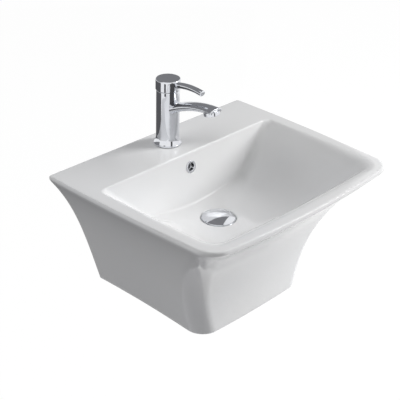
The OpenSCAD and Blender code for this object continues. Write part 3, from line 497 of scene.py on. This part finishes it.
def shell(u, z, inset=0.0, near=0.0):
    # Outside of the shroud, u = 0 at the foot and 1 under the rim's edge, inset all round. Its depth
    # grows with u to the power frontFlare.
    b = basin
    width = halfWidth(u)
    taper = mix(b["footFrontWidth"] / b["footWidth"], b["rimFrontWidth"] / b["rimWidth"], u)
    reach = mix(b["footDepth"], b["rimDepth"], u ** b["frontFlare"])
    return outline(width - inset, (width * taper - inset) / (width - inset), near, reach - inset,
                   b["wallCorner"], mix(b["footCorner"], b["rimCorner"], u) - inset,
                   mix(b["footBow"], b["sideBow"], u), mix(b["footBulge"], b["frontBow"], u), z)


def shroudZ(u):
    return mix(-basin["height"] + basin["footRound"], -basin["rimEdge"], u)


def castingRings():
    # One closed run of rings: up the outside, over the rim, down the bowl, through the waste hole with its
    # groove, up the outside of the collar and the bowl, out under the rim and down inside the shroud.
    b = basin
    bowlWidth = b["rimWidth"] / 2 - b["rimSide"]
    bowlTaper = (b["rimFrontWidth"] / 2 - b["rimSide"]) / bowlWidth
    bowlFar = b["rimDepth"] - b["rimFront"]
    foldNear = b["ledgeDepth"] + b["backLean"]

    def bowlRail(grow, z, near):
        return outline(bowlWidth + grow, bowlTaper, near, bowlFar + grow, b["bowlBackCorner"],
                       b["bowlFrontCorner"] + grow, 2, b["frontBow"] * 0.3, z)

    def foldRail(grow, near, drop=0.0):
        # the floor rises as the square of the distance from the middle plane
        rail = outline(bowlWidth - b["sideRun"] + grow, bowlTaper, near, bowlFar - b["frontRun"] + grow,
                       b["floorCorner"] * 0.6, b["floorCorner"], 3, 4, 0)
        rail[:, 2] = -b["bowlDepth"] + b["floorRise"] * (rail[:, 0] / 128) ** 2 - drop
        return rail

    def wasteRing(rail, radius, z):
        # a ring round the waste with its points in line with those of a rail
        away = unit(rail[:, :2] + [0, b["wasteY"]]) * radius
        return np.column_stack([away[:, 0], away[:, 1] - b["wasteY"], np.full(len(rail), z)])

    lip, fold = bowlRail(0, 0, b["ledgeDepth"]), foldRail(0, foldNear)
    seat = wasteRing(fold, seatRadius, wasteZ)
    # rounding is tight along the back of the bowl and soft along its sides and front
    backShare = ease((fold[:, 1:2] + foldNear + 30) / 30)
    lipRound, foldRound = mix(16, 4, backShare), mix(54, 6, backShare)
    top = shell(1, 0)
    under = shell(1, -b["rimEdge"])
    footTurn = np.radians(np.linspace(0, 90, 7))
    foot = [shell(0, -b["height"] + b["footRound"] * (1 - math.cos(a)), b["footRound"] * (1 - math.sin(a)))
            for a in footTurn]
    skirt = [shell(u, shroudZ(u)) for u in np.linspace(0, 0.955, 58)[1:]]
    kink = bendRings(skirt[-1], under, mix(under, top, 0.36), 10)[1:]
    edge = bendRings(top - [0, 0, b["edgeRound"]], top, top + unit(lip - top) * b["edgeRound"], 9)
    lips = bendRings(lip + unit(top - lip) * lipRound, lip, lip + unit(fold - lip) * lipRound, 12)
    toSeat = np.minimum(foldRound, np.linalg.norm(seat - fold, axis=1, keepdims=True) * 0.6)
    folds = bendRings(fold + unit(lip - fold) * foldRound, fold, fold + unit(seat - fold) * toSeat, 18)
    seatEdge = bendRings(seat + unit(fold - seat) * 1.8, wasteRing(fold, seatRadius - 0.2, wasteZ),
                         wasteRing(fold, seatRadius - 0.5, wasteZ - 1.8), 6)
    hole, collarRadius = b["wasteHole"], seatRadius + 4
    passage = [(seatRadius - 0.5, wasteZ - seatDrop), (hole, wasteZ - seatDrop), (hole, grooveHigh),
               (grooveRadius, grooveHigh), (grooveRadius, grooveLow), (hole, grooveLow), (hole, collarLow),
               (collarRadius, collarLow), (collarRadius, wasteZ - b["bowlWall"] - 1)]
    underFold = foldRail(3, foldNear - b["bowlWall"], b["bowlWall"] + 2)
    underLip = bowlRail(1, -b["ledgeThick"], b["ledgeDepth"] - b["bowlWall"] - 1)
    jointU = (-b["ledgeThick"] - shroudZ(0)) / (shroudZ(1) - shroudZ(0))
    hollow = [shell(u, shroudZ(u), b["shroudWall"], b["backWall"]) for u in np.linspace(jointU, 0, 24)]
    footInside = shell(0, -b["height"], b["shroudWall"], b["backWall"])
    return np.concatenate([
        foot, skirt, kink, edge, straightRings(edge[-1], lips[0], 3), lips,
        straightRings(lips[-1], folds[0], 16), folds, straightRings(folds[-1], seatEdge[0], 12), seatEdge,
        [wasteRing(fold, r, z) for r, z in passage],
        straightRings(wasteRing(fold, *passage[-1]), underFold, 4), [underFold],
        straightRings(underFold, underLip, 4), [underLip], hollow, [footInside]])


def softenRings(rings, passes=2):
    # evens out the small kinks where side, corner and front meet, along each ring
    for _ in range(passes):
        rings = (np.roll(rings, 1, axis=1) + 2 * rings + np.roll(rings, -1, axis=1)) / 4
    return rings


leanAngle = math.degrees(math.atan(basin["backLean"] / basin["bowlDepth"]))


def backY(depth):
    return -basin["ledgeDepth"] - basin["backLean"] * depth / basin["bowlDepth"]


def atTap(z=0.0):
    return place(0, -tapY, rimZ + z)


def atWaste(turnZ=0):
    return place(0, -basin["wasteY"], turnZ=turnZ)


def atOverflow(turnZ=0):
    # Z points out of the bowl's back wall, square to it
    drop = basin["overflowDrop"]
    return place(0, backY(drop), rimZ - drop, 90 - leanAngle, turnZ)


def channelOutline(outside):
    # side view (y, z) of the overflow channel: down behind the bowl and forward into the collar
    b = basin
    deep, wall, bowl = b["channelDepth"], b["channelWall"], b["bowlWall"]
    axisY, ledgeLow = -b["wasteY"], -b["ledgeThick"]
    if outside:
        line = [(backY(10) + 5, ledgeLow + 8), (backY(10) + bowl + deep + wall, ledgeLow + 8),
                (backY(100) + bowl + deep + wall, wasteZ - 8), (backY(110) + deep + wall, grooveLow - wall),
                (axisY, grooveLow - wall), (axisY, wasteZ - 5), (axisY + 37, wasteZ - 2.5),
                (backY(95) + 3, -b["bowlDepth"] - 5)]
    else:
        line = [(backY(14) + bowl, ledgeLow + 1), (backY(14) + bowl + deep, ledgeLow + 1),
                (backY(100) + bowl + deep, wasteZ - 5), (backY(110) + deep, grooveLow),
                (axisY + 10, grooveLow), (axisY + 10, grooveHigh), (backY(100), grooveHigh),
                (backY(100) + bowl - 2, wasteZ - 5)]
    return [(y, rimZ + z) for y, z in line]


def pipeGap():
    # opening for the pipes with round upper corners, as a cutter through the back wall
    b = basin
    half, corner = b["pipeGapWidth"] / 2, b["pipeGapCorner"]
    high = rimZ - b["height"] + b["pipeGapHeight"]
    turn = np.radians(np.linspace(0, 90, 10))
    right = np.column_stack([half - corner + corner * np.cos(turn), high - corner + corner * np.sin(turn)])
    side = np.vstack([[[half, high - b["pipeGapHeight"] - 6]], right])
    ring = np.vstack([side, (side * [-1, 1])[::-1]])
    depths = (1.0, -b["backWall"] - 1.0)
    return skin("pipeGap", [np.column_stack([ring[:, 0], np.full(len(ring), y), ring[:, 1]]) for y in depths])


def makeCasting():
    b = basin
    rings = softenRings(castingRings() + [0, 0, rimZ])
    ceramic = skin("basinCasting", rings, closedRows=True)
    combine(ceramic, [plate(channelOutline(True), b["channelWidth"] + 2 * b["channelWall"])], "UNION")
    # the channel's outside fills part of the waste hole, which is opened again with the groove
    cutters = [
        plate(channelOutline(False), b["channelWidth"]),
        rod(b["wasteHole"], rimZ + wasteZ - seatDrop - 0.2, rimZ - 200, atWaste(), 128),
        rod(grooveRadius, rimZ + grooveLow, rimZ + grooveHigh, atWaste(), 128),
        rod(b["overflowHole"], -b["bowlWall"] - 4, 16, atOverflow()),
        rod(b["tapHole"], -b["ledgeThick"] - 6, 14, atTap(), 96),
        pipeGap()]
    for side in (-1, 1):
        fixing = place(side * b["fixingSpacing"] / 2, turnX=90)
        cutters.append(rod(b["fixingHole"], -1, b["backWall"] + 1, fixing))
    combine(ceramic, cutters, sharp=30)
    return finishPiece(ceramic, "basin_body", "basin_shroud", "overflow_channel", slot="glaze")


casting = makeCasting()
print("casting made:", len(casting.data.polygons), "faces")

# Overflow ring and waste
overflowLook = {"opening": 7.5, "outside": 12.0, "face": 1.8, "hub": 2.0, "spoke": 1.9}


def makeOverflowRing():
    o, b = overflowLook, basin
    sleeve = b["overflowHole"] - 0.2
    line = softened([
        (o["opening"], 2 - b["bowlWall"], 0), (sleeve, 2 - b["bowlWall"], 0), (sleeve, 0.15, 0),
        (o["outside"], 0.15, 0.2), (o["outside"], 0.9, 0.35), (o["outside"] - 0.9, o["face"], 0.5),
        (o["opening"] + 0.7, o["face"], 0.5), (o["opening"], 0.9, 0.3)], guard=0.05)
    ring = turned("overflowRing", line, atOverflow(), 96, closed=True)
    hub = softened([(0.01, -2, 0), (o["hub"], -2, 0), (o["hub"], 0.6, 0.4), (0.01, 0.6, 0)], 0.05)
    low, high = (0, -o["spoke"] / 2, -2), (o["opening"] + 0.5, o["spoke"] / 2, 0.45)
    spokes = [bar(low, high, atOverflow(angle)) for angle in (90, 210, 330)]
    combine(ring, [turned("hub", hub, atOverflow(), 40), *spokes], "UNION")
    finishPiece(ring, "overflow_ring")


waste = {"tube": 20.95, "wall": 2.0, "length": 92, "flange": wasteFlange, "flangeThick": 2.4, "topSeal": 1.5,
         "coneSeal": 6, "slip": 1.5, "nut": 10, "cover": 31.8, "coverRise": 4.2, "coverThick": 1.8,
         "coverGap": 0.3, "boss": 7, "bossDrop": 5, "stemHole": 2.62,
         "web": 5, "hub": 8.5, "click": 6, "threadPitch": 2.31, "threadDepth": 0.75,
         "housingDrop": 10, "housingWall": 1.6, "stemHigh": 8,
         "springWire": 0.5, "springTurns": 5, "springGap": 0.3, "springSeat": 2.05}
flangeZ = rimZ + wasteZ - seatDrop + waste["topSeal"]
slotsZ = rimZ + grooveLow
webZ = slotsZ - 12
threadLowZ = rimZ + collarLow - waste["coneSeal"] - waste["slip"] - waste["nut"] - 0.5


def makeWasteBody():
    # flange and funnel in one turning, thread on the tube down to a groove, slots for the overflow
    w = waste
    inside = w["tube"] - w["wall"]
    low = flangeZ - w["length"]
    high = flangeZ + w["flangeThick"]
    threadTop = slotsZ - 1
    tube = np.column_stack([np.full(190, w["tube"]), np.linspace(threadLowZ, threadTop, 190)])
    flange = softened([
        (w["tube"], flangeZ, 0), (w["flange"], flangeZ, 0.2), (w["flange"], high, 1.1),
        (w["flange"] - 5, high, 0.8), (inside + 2.2, flangeZ + 1.4, 0.4), (inside, flangeZ - 0.2, 0)], 0.1)
    line = np.vstack([
        [[inside, low], [w["tube"] - 0.4, low], [w["tube"], low + 0.5], [w["tube"], threadLowZ - 2],
         [w["tube"] - 0.7, threadLowZ - 1.5], [w["tube"] - 0.7, threadLowZ - 0.5]], tube, flange])
    body = turned("wasteBody", line, atWaste(), closed=True,
                  thread=(w["threadPitch"], w["threadDepth"], threadLowZ, threadTop))
    web = [bar((-inside - 0.8, -2, webZ), (inside + 0.8, 2, webZ + w["web"]), atWaste(angle))
           for angle in (45, 135)]
    combine(body, web + [rod(w["hub"], webZ - 3, webZ + w["web"] + 3, atWaste())], "UNION")
    slotLow, slotHigh = (w["tube"] - 6, -4, slotsZ + 1.5), (w["tube"] + 6, 4, slotsZ + 12.5)
    slots = [bar(slotLow, slotHigh, atWaste(angle)) for angle in range(0, 360, 60)]
    combine(body, [rod(w["click"], webZ - 4, webZ + w["web"] + 6, atWaste()), *slots])
    finishPiece(body, "waste_body")


def makePlugCover():
    # A slice of a ball over a flat rim, with a boss underneath for the stem. The ball's radius is
    # (cover squared plus coverRise squared) over twice coverRise.
    w = waste
    low = flangeZ + w["flangeThick"] + w["coverGap"]
    ball = (w["cover"] ** 2 + w["coverRise"] ** 2) / (2 * w["coverRise"])
    span = math.asin(w["cover"] / ball)
    crown = low + w["coverThick"] + w["coverRise"]
    turn = np.linspace(span * 0.03, span * 0.985, 40)
    outer = np.column_stack([ball * np.sin(turn), crown - ball + ball * np.cos(turn)])
    turn = np.linspace(span * 0.86, span * 0.36, 12)
    inner = np.column_stack([ball * np.sin(turn), crown - w["coverThick"] - ball + ball * np.cos(turn)])
    high, bossLow = low + w["coverThick"], low - w["bossDrop"]
    rim = softened([(w["cover"] - 0.3, high, 0), (w["cover"], high - 0.4, 0.3), (w["cover"], low, 0.3),
                    (w["cover"] - 3, low, 0.2)], guard=0.05)[1:]
    boss = [[w["boss"], low + 1], [w["boss"], bossLow], [w["stemHole"], bossLow], [w["stemHole"], low - 0.98]]
    cover = turned("plugCover", np.vstack([outer, rim, inner, boss]), atWaste())
    finishPiece(cover, "plug_cover", body="plug")


def makeSpring():
    # round wire wound as a helix: the middle line climbs evenly with the turn
    w = waste
    wire, turns = w["springWire"], w["springTurns"]
    coil = w["click"] - w["housingWall"] - wire - w["springGap"]
    rise = w["stemHigh"] - w["springGap"] - 2 * wire - w["springSeat"]
    foot = webZ - w["housingDrop"] + w["springSeat"] + wire
    turn = np.linspace(0, 2 * math.pi * turns, turns * 40)[:, None]
    aroundWire = np.linspace(0, 2 * math.pi, 14, endpoint=False)[None, :]
    radius = coil - wire * np.cos(aroundWire)
    z = foot + rise * turn / (2 * math.pi * turns) + wire * np.sin(aroundWire)
    rings = np.stack([radius * np.cos(turn), radius * np.sin(turn), z], axis=-1)
    spring = skin("clickSpring", moved(rings, atWaste()))
    finishPiece(spring, "click_spring", slot="steel")


makeOverflowRing()
makeWasteBody()
makePlugCover()
makeSpring()
print("overflow ring and waste made")

# Tap: heights are measured from the ledge
tap = {
    "column": 22.0, "height": 109.7, "foot": 26.2, "flare": 16,
    "baseRing": 26.8, "ringThick": 2.2, "sealThick": 1.0,
    "spigot": 16.5, "spigotLength": 6, "pocket": 14.8,
    "inletX": 8.2, "inletY": -5, "inlet": 4.5, "inletDepth": 16, "inletZ": 0.5,
    "studY": 9.5, "stud": 3.98, "studLength": 50, "studHigh": 10,
    "cartridge": 17.5, "nut": 19.4, "nutSink": 6.4, "pivotDrop": 12, "stemArm": 13.5,
    "ball": 2.6, "ballGap": 0.5, "rotorPlate": 3.2, "disc": 4, "cartridgeFloor": 6,
    "domeSink": 1.1, "domeRise": 4.6, "domeWall": 1.6,
    "reach": 123, "top": 103.5, "topAt": 120, "archRadius": 196, "width": 28, "endWidth": 29.5,
    "thick": 16.5, "endThick": 11.5, "outletReach": 111, "outletTilt": 12,
    "aerator": 15, "aeratorHeight": 7.6, "neck": 2, "spotFace": 5, "threadLength": 2.6,
    "cap": 23.4, "capHeight": 21, "capGap": 0.8, "capRoom": 0.65, "stem": 6.4, "grub": 2.5, "grubDrop": 6.3,
    "leverReach": 88.5, "leverWidth": 11, "leverEndWidth": 12.5, "leverThick": 11.6, "leverEndThick": 9.7,
    "leverTopAt": 63, "leverArch": 143, "leverDrop": 1.7, "peg": 3.0, "pegDepth": 7,
}
columnZ = tap["sealThick"] + tap["ringThick"]
pivotZ = tap["height"] - tap["pivotDrop"]
cartridgeZ = (pivotZ - tap["stemArm"] - tap["ball"] - tap["ballGap"] - tap["rotorPlate"] - tap["disc"]
              - tap["cartridgeFloor"])
nutSeat = tap["height"] - tap["nutSink"]
capLow = tap["height"] + tap["capGap"]
capTop = capLow + tap["capHeight"]
aeratorThread = tap["aerator"] - 3.6


def atStud():
    return place(0, -tapY + tap["studY"], rimZ)


def roundedEnd(count, share, depth):
    # Shares of a bar's length, and how far its outline is drawn in there: not at all, and over the last
    # share by depth times one less the cosine of a quarter turn.
    turn = np.linspace(0, 1, 7)[1:] * math.pi / 2
    along = np.concatenate([np.linspace(0, 1 - share, count), 1 - share * (1 - np.sin(turn))])
    return along, np.concatenate([np.zeros(count), depth * (1 - np.cos(turn))])


def barRings(along, height, slope, width, thick, sides, power=0.9):
    # Cross-sections of a bar that runs forward. Each is an oval whose cosine and sine are raised to
    # power, tilted by the slope of the bar there.
    angle = np.linspace(0, 2 * math.pi, sides, endpoint=False)
    c, s = np.cos(angle), np.sin(angle)
    x = np.sign(c) * np.abs(c) ** power * width[:, None] / 2
    v = np.sign(s) * np.abs(s) ** power * thick[:, None] / 2
    y = -along[:, None] + v * np.sin(slope)[:, None]
    return np.stack([x, y, height[:, None] + v * np.cos(slope)[:, None]], axis=-1)


def spoutHeight(s):
    # a parabola with its top at topAt
    return tap["top"] - (s - tap["topAt"]) ** 2 / (2 * tap["archRadius"])


def spoutRings():
    # the bar widens evenly and thins as the square of the distance, and its end edge is rounded
    t = tap
    f, inset = roundedEnd(70, 0.012, 1.6)
    s = mix(6, t["reach"], f)
    slope = np.arctan((t["topAt"] - s) / t["archRadius"])
    return barRings(s, spoutHeight(s), slope, mix(t["width"], t["endWidth"], f) - 2 * inset,
                    mix(t["thick"], t["endThick"], f * f) - 2 * inset, 96)


def atOutlet():
    # on the roof of the recess under the spout's end, Z back up the tilted outlet
    t = tap
    roof = spoutHeight(t["outletReach"]) - t["endThick"] / 2 + t["spotFace"]
    return place(0, -tapY - t["outletReach"], rimZ + roof, turnX=-t["outletTilt"])


def makeColumn():
    # the foot narrows to the column by 1 - (1 - rise) to the power 2.6
    t = tap
    rise = np.linspace(0, 1, 24)
    radius = mix(t["foot"], t["column"], 1 - (1 - rise) ** 2.6)
    flare = np.column_stack([radius, columnZ + 1 + rise * t["flare"]])
    spigot = [[t["spigot"], -t["spigotLength"]], [t["spigot"], columnZ], [t["foot"] - 0.3, columnZ]]
    top = softened([(t["column"], columnZ + t["flare"] + 1, 0), (t["column"], t["height"], 1.0),
                    (t["column"] - 5, t["height"], 0)])[1:]
    column = turned("tapColumn", np.vstack([spigot, flare, top]), atTap())
    cutters = [rod(t["cartridge"] + 0.1, cartridgeZ, 150, atTap(), 96),
               rod(t["nut"] + 0.05, nutSeat, 150, atTap(), 96),
               rod(t["pocket"], -20, t["inletZ"], atTap(), 64),
               rod(t["stud"] + 0.02, 0, t["studHigh"] + 2, atStud(), 32)]
    for side in (-1, 1):
        inlet = place(side * t["inletX"], -tapY + t["inletY"], rimZ + t["inletZ"])
        cutters.append(rod(t["inlet"], -1, t["inletDepth"], inlet, 40))
        cutters.append(rod(t["inlet"] - 1.2, 0, cartridgeZ, inlet, 32))
    combine(column, cutters)
    finishPiece(column, "tap_body")


def makeSpout():
    t = tap
    spout = skin("tapSpout", moved(spoutRings(), atTap()))
    combine(spout, [rod(t["column"] + 0.02, 0, 220, atTap(), 128),
                    rod(t["aerator"] + 0.8, -20, 0, atOutlet(), 128)])
    low = -t["neck"] - t["threadLength"]
    combine(spout, [rod(t["aerator"] - 2.8, -t["neck"], 1, atOutlet(), 96),
                    rod(aeratorThread, low, -t["neck"] + 1, atOutlet(), 96)], "UNION")
    combine(spout, [rod(aeratorThread - 2.2, low - 1, 1, atOutlet(), 80)])
    finishPiece(spout, "tap_spout")


def makeBaseRing():
    t = tap
    line = softened([(t["spigot"] + 0.15, t["sealThick"], 0), (t["baseRing"], t["sealThick"], 0.2),
                     (t["baseRing"], columnZ, 0.6), (t["spigot"] + 0.15, columnZ, 0)], guard=0.2)
    ring = turned("tapBaseRing", line, atTap(), closed=True)
    finishPiece(ring, "tap_base_ring")


def makeStud():
    t = tap
    low = -basin["ledgeThick"] - t["studLength"]
    z = np.arange(low, t["studHigh"], 0.156)
    shaft = np.column_stack([np.full(len(z) - 6, t["stud"]), z[3:-3]])
    line = np.vstack([[[t["stud"] - 0.6, low]], shaft, [[t["stud"] - 0.6, t["studHigh"]]]])
    stud = turned("tapStud", line, atStud(), 28, thread=(1.25, 0.62, low + 1, t["studHigh"] - 1), sharp=60)
    finishPiece(stud, "tap_stud", slot="brass")


def makeAerator():
    t = tap
    thread, edge, neck = aeratorThread, t["aerator"], t["aerator"] - 2.75
    seat = -t["neck"] - 0.05
    high = -t["neck"] + 0.9
    low = high - t["aeratorHeight"]
    line = softened([
        (thread - 1.5, low + 0.3, 0.2), (thread - 0.8, low, 0.2), (edge, low, 1.1), (edge, high, 0.8),
        (neck, high, 0.1), (neck, seat, 0), (thread + 0.05, seat, 0), (thread + 0.05, low + 1.2, 0),
        (thread - 1.5, low + 1.2, 0)], guard=0.05)
    housing = turned("aeratorHousing", line, atOutlet(), closed=True)
    finishPiece(housing, "aerator_housing")


def ballLine(radius, low, high, steps):
    # points on a ball's outline between two heights above its middle
    angle = np.linspace(math.asin(low / radius), math.asin(high / radius), steps)
    return np.column_stack([radius * np.cos(angle), radius * np.sin(angle)])


def makeDome():
    # a slice of a hollow ball round the lever's pivot
    low = tap["height"] - tap["domeSink"] - pivotZ
    high = low + tap["domeRise"]
    outer = math.hypot(tap["nut"] - 0.05, low)
    line = np.vstack([ballLine(outer, low, high, 20), ballLine(outer - tap["domeWall"], high, low, 20)])
    dome = turned("cartridgeDome", line, atTap(pivotZ), closed=True)
    finishPiece(dome, "cartridge_dome")


def leverHeight(s):
    # a parabola with its top at leverTopAt
    return capTop - tap["leverDrop"] - (s - tap["leverTopAt"]) ** 2 / (2 * tap["leverArch"])


def leverSlope(s):
    return np.arctan((tap["leverTopAt"] - s) / tap["leverArch"])


def socketPlace(s):
    # Z runs forward out of the cap along the lever at distance s from the tap's axis
    return place(0, -tapY - s, rimZ + leverHeight(s), turnX=90 - math.degrees(leverSlope(s)))


def makeCap():
    # hollowed by a ball round the pivot that clears the column's edge at every lift of the lever
    t = tap
    line = softened([(0.01, capLow, 0), (t["cap"], capLow, 1.0), (t["cap"], capTop, 2.2), (0.01, capTop, 0)],
                    guard=0.5, steps=10)
    cap = turned("leverCap", line, atTap())
    cavity = math.hypot(t["column"], t["pivotDrop"]) + t["capRoom"]
    ball = turned("ball", ballLine(cavity, -cavity * 0.9999, cavity * 0.9999, 64), atTap(pivotZ))
    half = t["stem"] / 2 + 0.05
    grub = place(0, -tapY + t["stem"] / 2, rimZ + capTop - t["grubDrop"], turnX=-90)
    combine(cap, [ball, bar((-half, -half, pivotZ), (half, half, capTop - 2.95), atTap()),
                  rod(t["peg"], 0, 20, socketPlace(t["cap"] - t["pegDepth"]), 40),
                  rod(t["grub"], 0, 40, grub, 40)])
    finishPiece(cap, "lever_cap", body="lever")


def makeLever():
    # the bar widens towards its flat oval end, whose edge is rounded over
    t = tap
    f, inset = roundedEnd(60, 0.016, 1.2)
    s = mix(t["cap"] - 4, t["leverReach"], f)
    width = mix(t["leverWidth"], t["leverEndWidth"], f) - 2 * inset
    thick = mix(t["leverThick"], t["leverEndThick"], f) - 2 * inset
    rings = barRings(s, leverHeight(s), leverSlope(s), width, thick, 80)
    lever = skin("leverArm", moved(rings, atTap()))
    combine(lever, [rod(t["cap"] + 0.02, capLow - 20, capLow + 40, atTap(), 128)])
    combine(lever, [rod(t["peg"] - 0.05, 0.4, 11, socketPlace(t["cap"] - t["pegDepth"]), 40)], "UNION")
    finishPiece(lever, "lever_arm", body="lever")


makeColumn()
makeSpout()
makeBaseRing()
makeStud()
makeAerator()
makeDome()
makeCap()
makeLever()
print("tap made")

# CAD nodes that keep their own shape get a finish, smooth round faces and crisp edges
slotOf = {part["node"]: part["material_slot"] for part in frame["record"]["subparts"]}


def keepNode(name, node):
    node.data.materials.clear()
    node.data.materials.append(materials[slotOf[name]])
    node.data.polygons.foreach_set("use_smooth", np.ones(len(node.data.polygons), bool))
    weld = node.modifiers.new("Weld", "WELD")
    weld.merge_threshold = 0.000002
    split = node.modifiers.new("Edges", "EDGE_SPLIT")
    split.split_angle = math.radians(32)


for name, node in frame["nodes"].items():
    keepNode(name, node)
print("CAD nodes finished:", len(frame["nodes"]))

# Studio: a pale floor, a low soft key light from the right front, a fill from the left behind, dark
# screens and floor cards behind and to the left, and two dark strips beside the tap that only mirror
# rays see. The camera sees none of the dark ones. Azimuths are in degrees from the front to the right.
studio = {
    "floorZ": -780, "floorSize": 14000, "floorColor": (0.86, 0.86, 0.86), "floorGlow": 1.03,
    "glowShare": 0.94, "skyLevel": 0.18,
    # from and to azimuth, low and high angle seen from the part, shade
    "screens": {"screenBehind": (-242, -117, 6, 64, 0.235), "screenSlit": (-16, 0, -10, 50, 0.1)},
    # from and to azimuth, distance of the far edge, shade
    "cards": {"cardBehind": (128, 246, 3300, 0.11), "cardLeft": (243, 358, 1300, 0.42)},
    # from and to azimuth, distance from the tap's axis, low and high edge above the rim, shade
    "flags": {"flagLeft": (-77, -63, 110, 65, 92, 0.08), "flagRight": (-34, -6, 30, 84, 127, 0.08)},
    # azimuth, elevation, power in watts, width and height in metres, seen in mirrors
    "lights": {
        "keyLight": (58, 24, 90, 1.4, 1.3, False), "glintLight": (58, 42, 13, 0.9, 0.9, True),
        "fillLight": (-120, 50, 32, 2.0, 1.6, False), "backLight": (-150, 9, 17, 2.0, 1.6, False)},
}


def lookShare(tree):
    # 1 for camera, mirror and glass rays, which see plain white, and 0 for all others
    path = addNode(tree, "ShaderNodeLightPath").outputs
    share = path["Is Camera Ray"]
    for kind in ("Is Glossy Ray", "Is Transmission Ray"):
        share = calc(tree, "MAXIMUM", share, path[kind])
    return share


def makeSky():
    world = bpy.data.worlds.new("studioSky")
    bpy.context.scene.world = world
    world.use_nodes = True
    tree = world.node_tree
    tree.nodes.clear()
    level = ramp(tree, lookShare(tree), 0, 1, studio["skyLevel"], 1.0)
    sky = addNode(tree, "ShaderNodeBackground", {"Color": (1, 1, 1, 1), "Strength": level})
    sheet = addNode(tree, "ShaderNodeOutputWorld")
    feed(tree, sheet, Surface=sky.outputs[0])


def facing(azimuth, elevation, roll=0):
    # the turn of a lamp or camera that looks at the middle from an azimuth and elevation, in degrees
    a, e, r = (math.radians(angle) for angle in (azimuth, 90 - elevation, roll))
    return Matrix.Rotation(a, 4, "Z") @ Matrix.Rotation(e, 4, "X") @ Matrix.Rotation(r, 4, "Z")


def makeFloor():
    half, z = studio["floorSize"] / 2, studio["floorZ"]
    corners = np.array([[-half, -half, z], [half, -half, z], [half, half, z], [-half, half, z]])
    floor = newObject("floor", corners, [[0, 1, 2, 3]])
    material, tree = newMaterial("paleFloor", studio["floorColor"], Roughness=0.9)
    shader = tree.nodes["Principled BSDF"]
    glow = addNode(tree, "ShaderNodeEmission", {"Color": (1, 1, 1, 1), "Strength": studio["floorGlow"]})
    share = calc(tree, "MULTIPLY", lookShare(tree), studio["glowShare"])
    both = addNode(tree, "ShaderNodeMixShader", {0: share, 1: shader.outputs[0], 2: glow.outputs[0]})
    feed(tree, tree.nodes["Material Output"], Surface=both.outputs[0])
    floor.data.materials.append(material)


def darkStrip(name, fromTurn, toTurn, middleY, edges, shade):
    # a strip of one shade round an upright axis, between two edges given as (radius, height), that the
    # camera doesn't see
    turn = np.radians(np.linspace(fromTurn, toTurn, 24))
    rows = [np.column_stack([radius * np.sin(turn), middleY - radius * np.cos(turn), np.full(24, height)])
            for radius, height in edges]
    strip = newObject(name, np.vstack(rows), [[i, i + 1, 25 + i, 24 + i] for i in range(23)])
    material, tree = newMaterial(name, (shade, shade, shade), Roughness=1.0)
    glow = addNode(tree, "ShaderNodeEmission", {"Color": (shade, shade, shade * 1.04, 1), "Strength": 1.0})
    feed(tree, tree.nodes["Material Output"], Surface=glow.outputs[0])
    strip.data.materials.append(material)
    strip.visible_camera = False
    return strip


def makeScreen(name, fromTurn, toTurn, low, high, shade, distance=3400):
    # a curved upright screen round the part
    edges = [(distance, distance * math.tan(angle)) for angle in np.radians([low, high])]
    darkStrip(name, fromTurn, toTurn, 0, edges, shade)


def makeCard(name, fromTurn, toTurn, far, shade):
    # a flat sector round the tap, just above the floor
    z = studio["floorZ"] + 10
    darkStrip(name, fromTurn, toTurn, -tapY, [(10, z), (far, z)], shade).visible_shadow = False


def makeFlag(name, fromTurn, toTurn, distance, low, high, shade):
    # a dark strip round the tap that only mirror rays see
    edges = [(distance, rimZ + low), (distance, rimZ + high)]
    flag = darkStrip(name, fromTurn, toTurn, -tapY, edges, shade)
    flag.visible_diffuse = False
    flag.visible_shadow = False


def addLight(name, azimuth, elevation, power, width, height, mirrored, distance=3.2):
    # a lamp on a sphere round the part, which it faces
    light = bpy.data.lights.new(name, "AREA")
    light.shape = "RECTANGLE"
    light.size, light.size_y = width, height
    light.energy = power
    lamp = bpy.data.objects.new(name, light)
    away = Matrix.Translation((0, 0, distance))
    lamp.matrix_world = Matrix.Translation((0, -0.2, 0)) @ facing(azimuth, elevation) @ away
    lamp.visible_camera = False
    lamp.visible_glossy = mirrored
    bpy.context.scene.collection.objects.link(lamp)


def makeStudio():
    makeSky()
    makeFloor()
    makers = {"screens": makeScreen, "cards": makeCard, "flags": makeFlag, "lights": addLight}
    for kind, make in makers.items():
        for name, values in studio[kind].items():
            make(name, *values)


camera = {"azimuth": -46.57, "elevation": 28.68, "roll": 1.52, "lens": 99.65, "sensor": 36,
          "place": (-1.33017, -1.39742, 0.98299)}


def makeCamera():
    turn = facing(camera["azimuth"], camera["elevation"], camera["roll"])
    data = bpy.data.cameras.new("camera")
    data.lens, data.sensor_width = camera["lens"], camera["sensor"]
    viewer = bpy.data.objects.new("camera", data)
    viewer.matrix_world = Matrix.Translation(camera["place"]) @ turn
    bpy.context.scene.collection.objects.link(viewer)
    bpy.context.scene.camera = viewer


makeStudio()
makeCamera()
bpy.context.scene.view_settings.view_transform = "Standard"
print("studio and camera set")
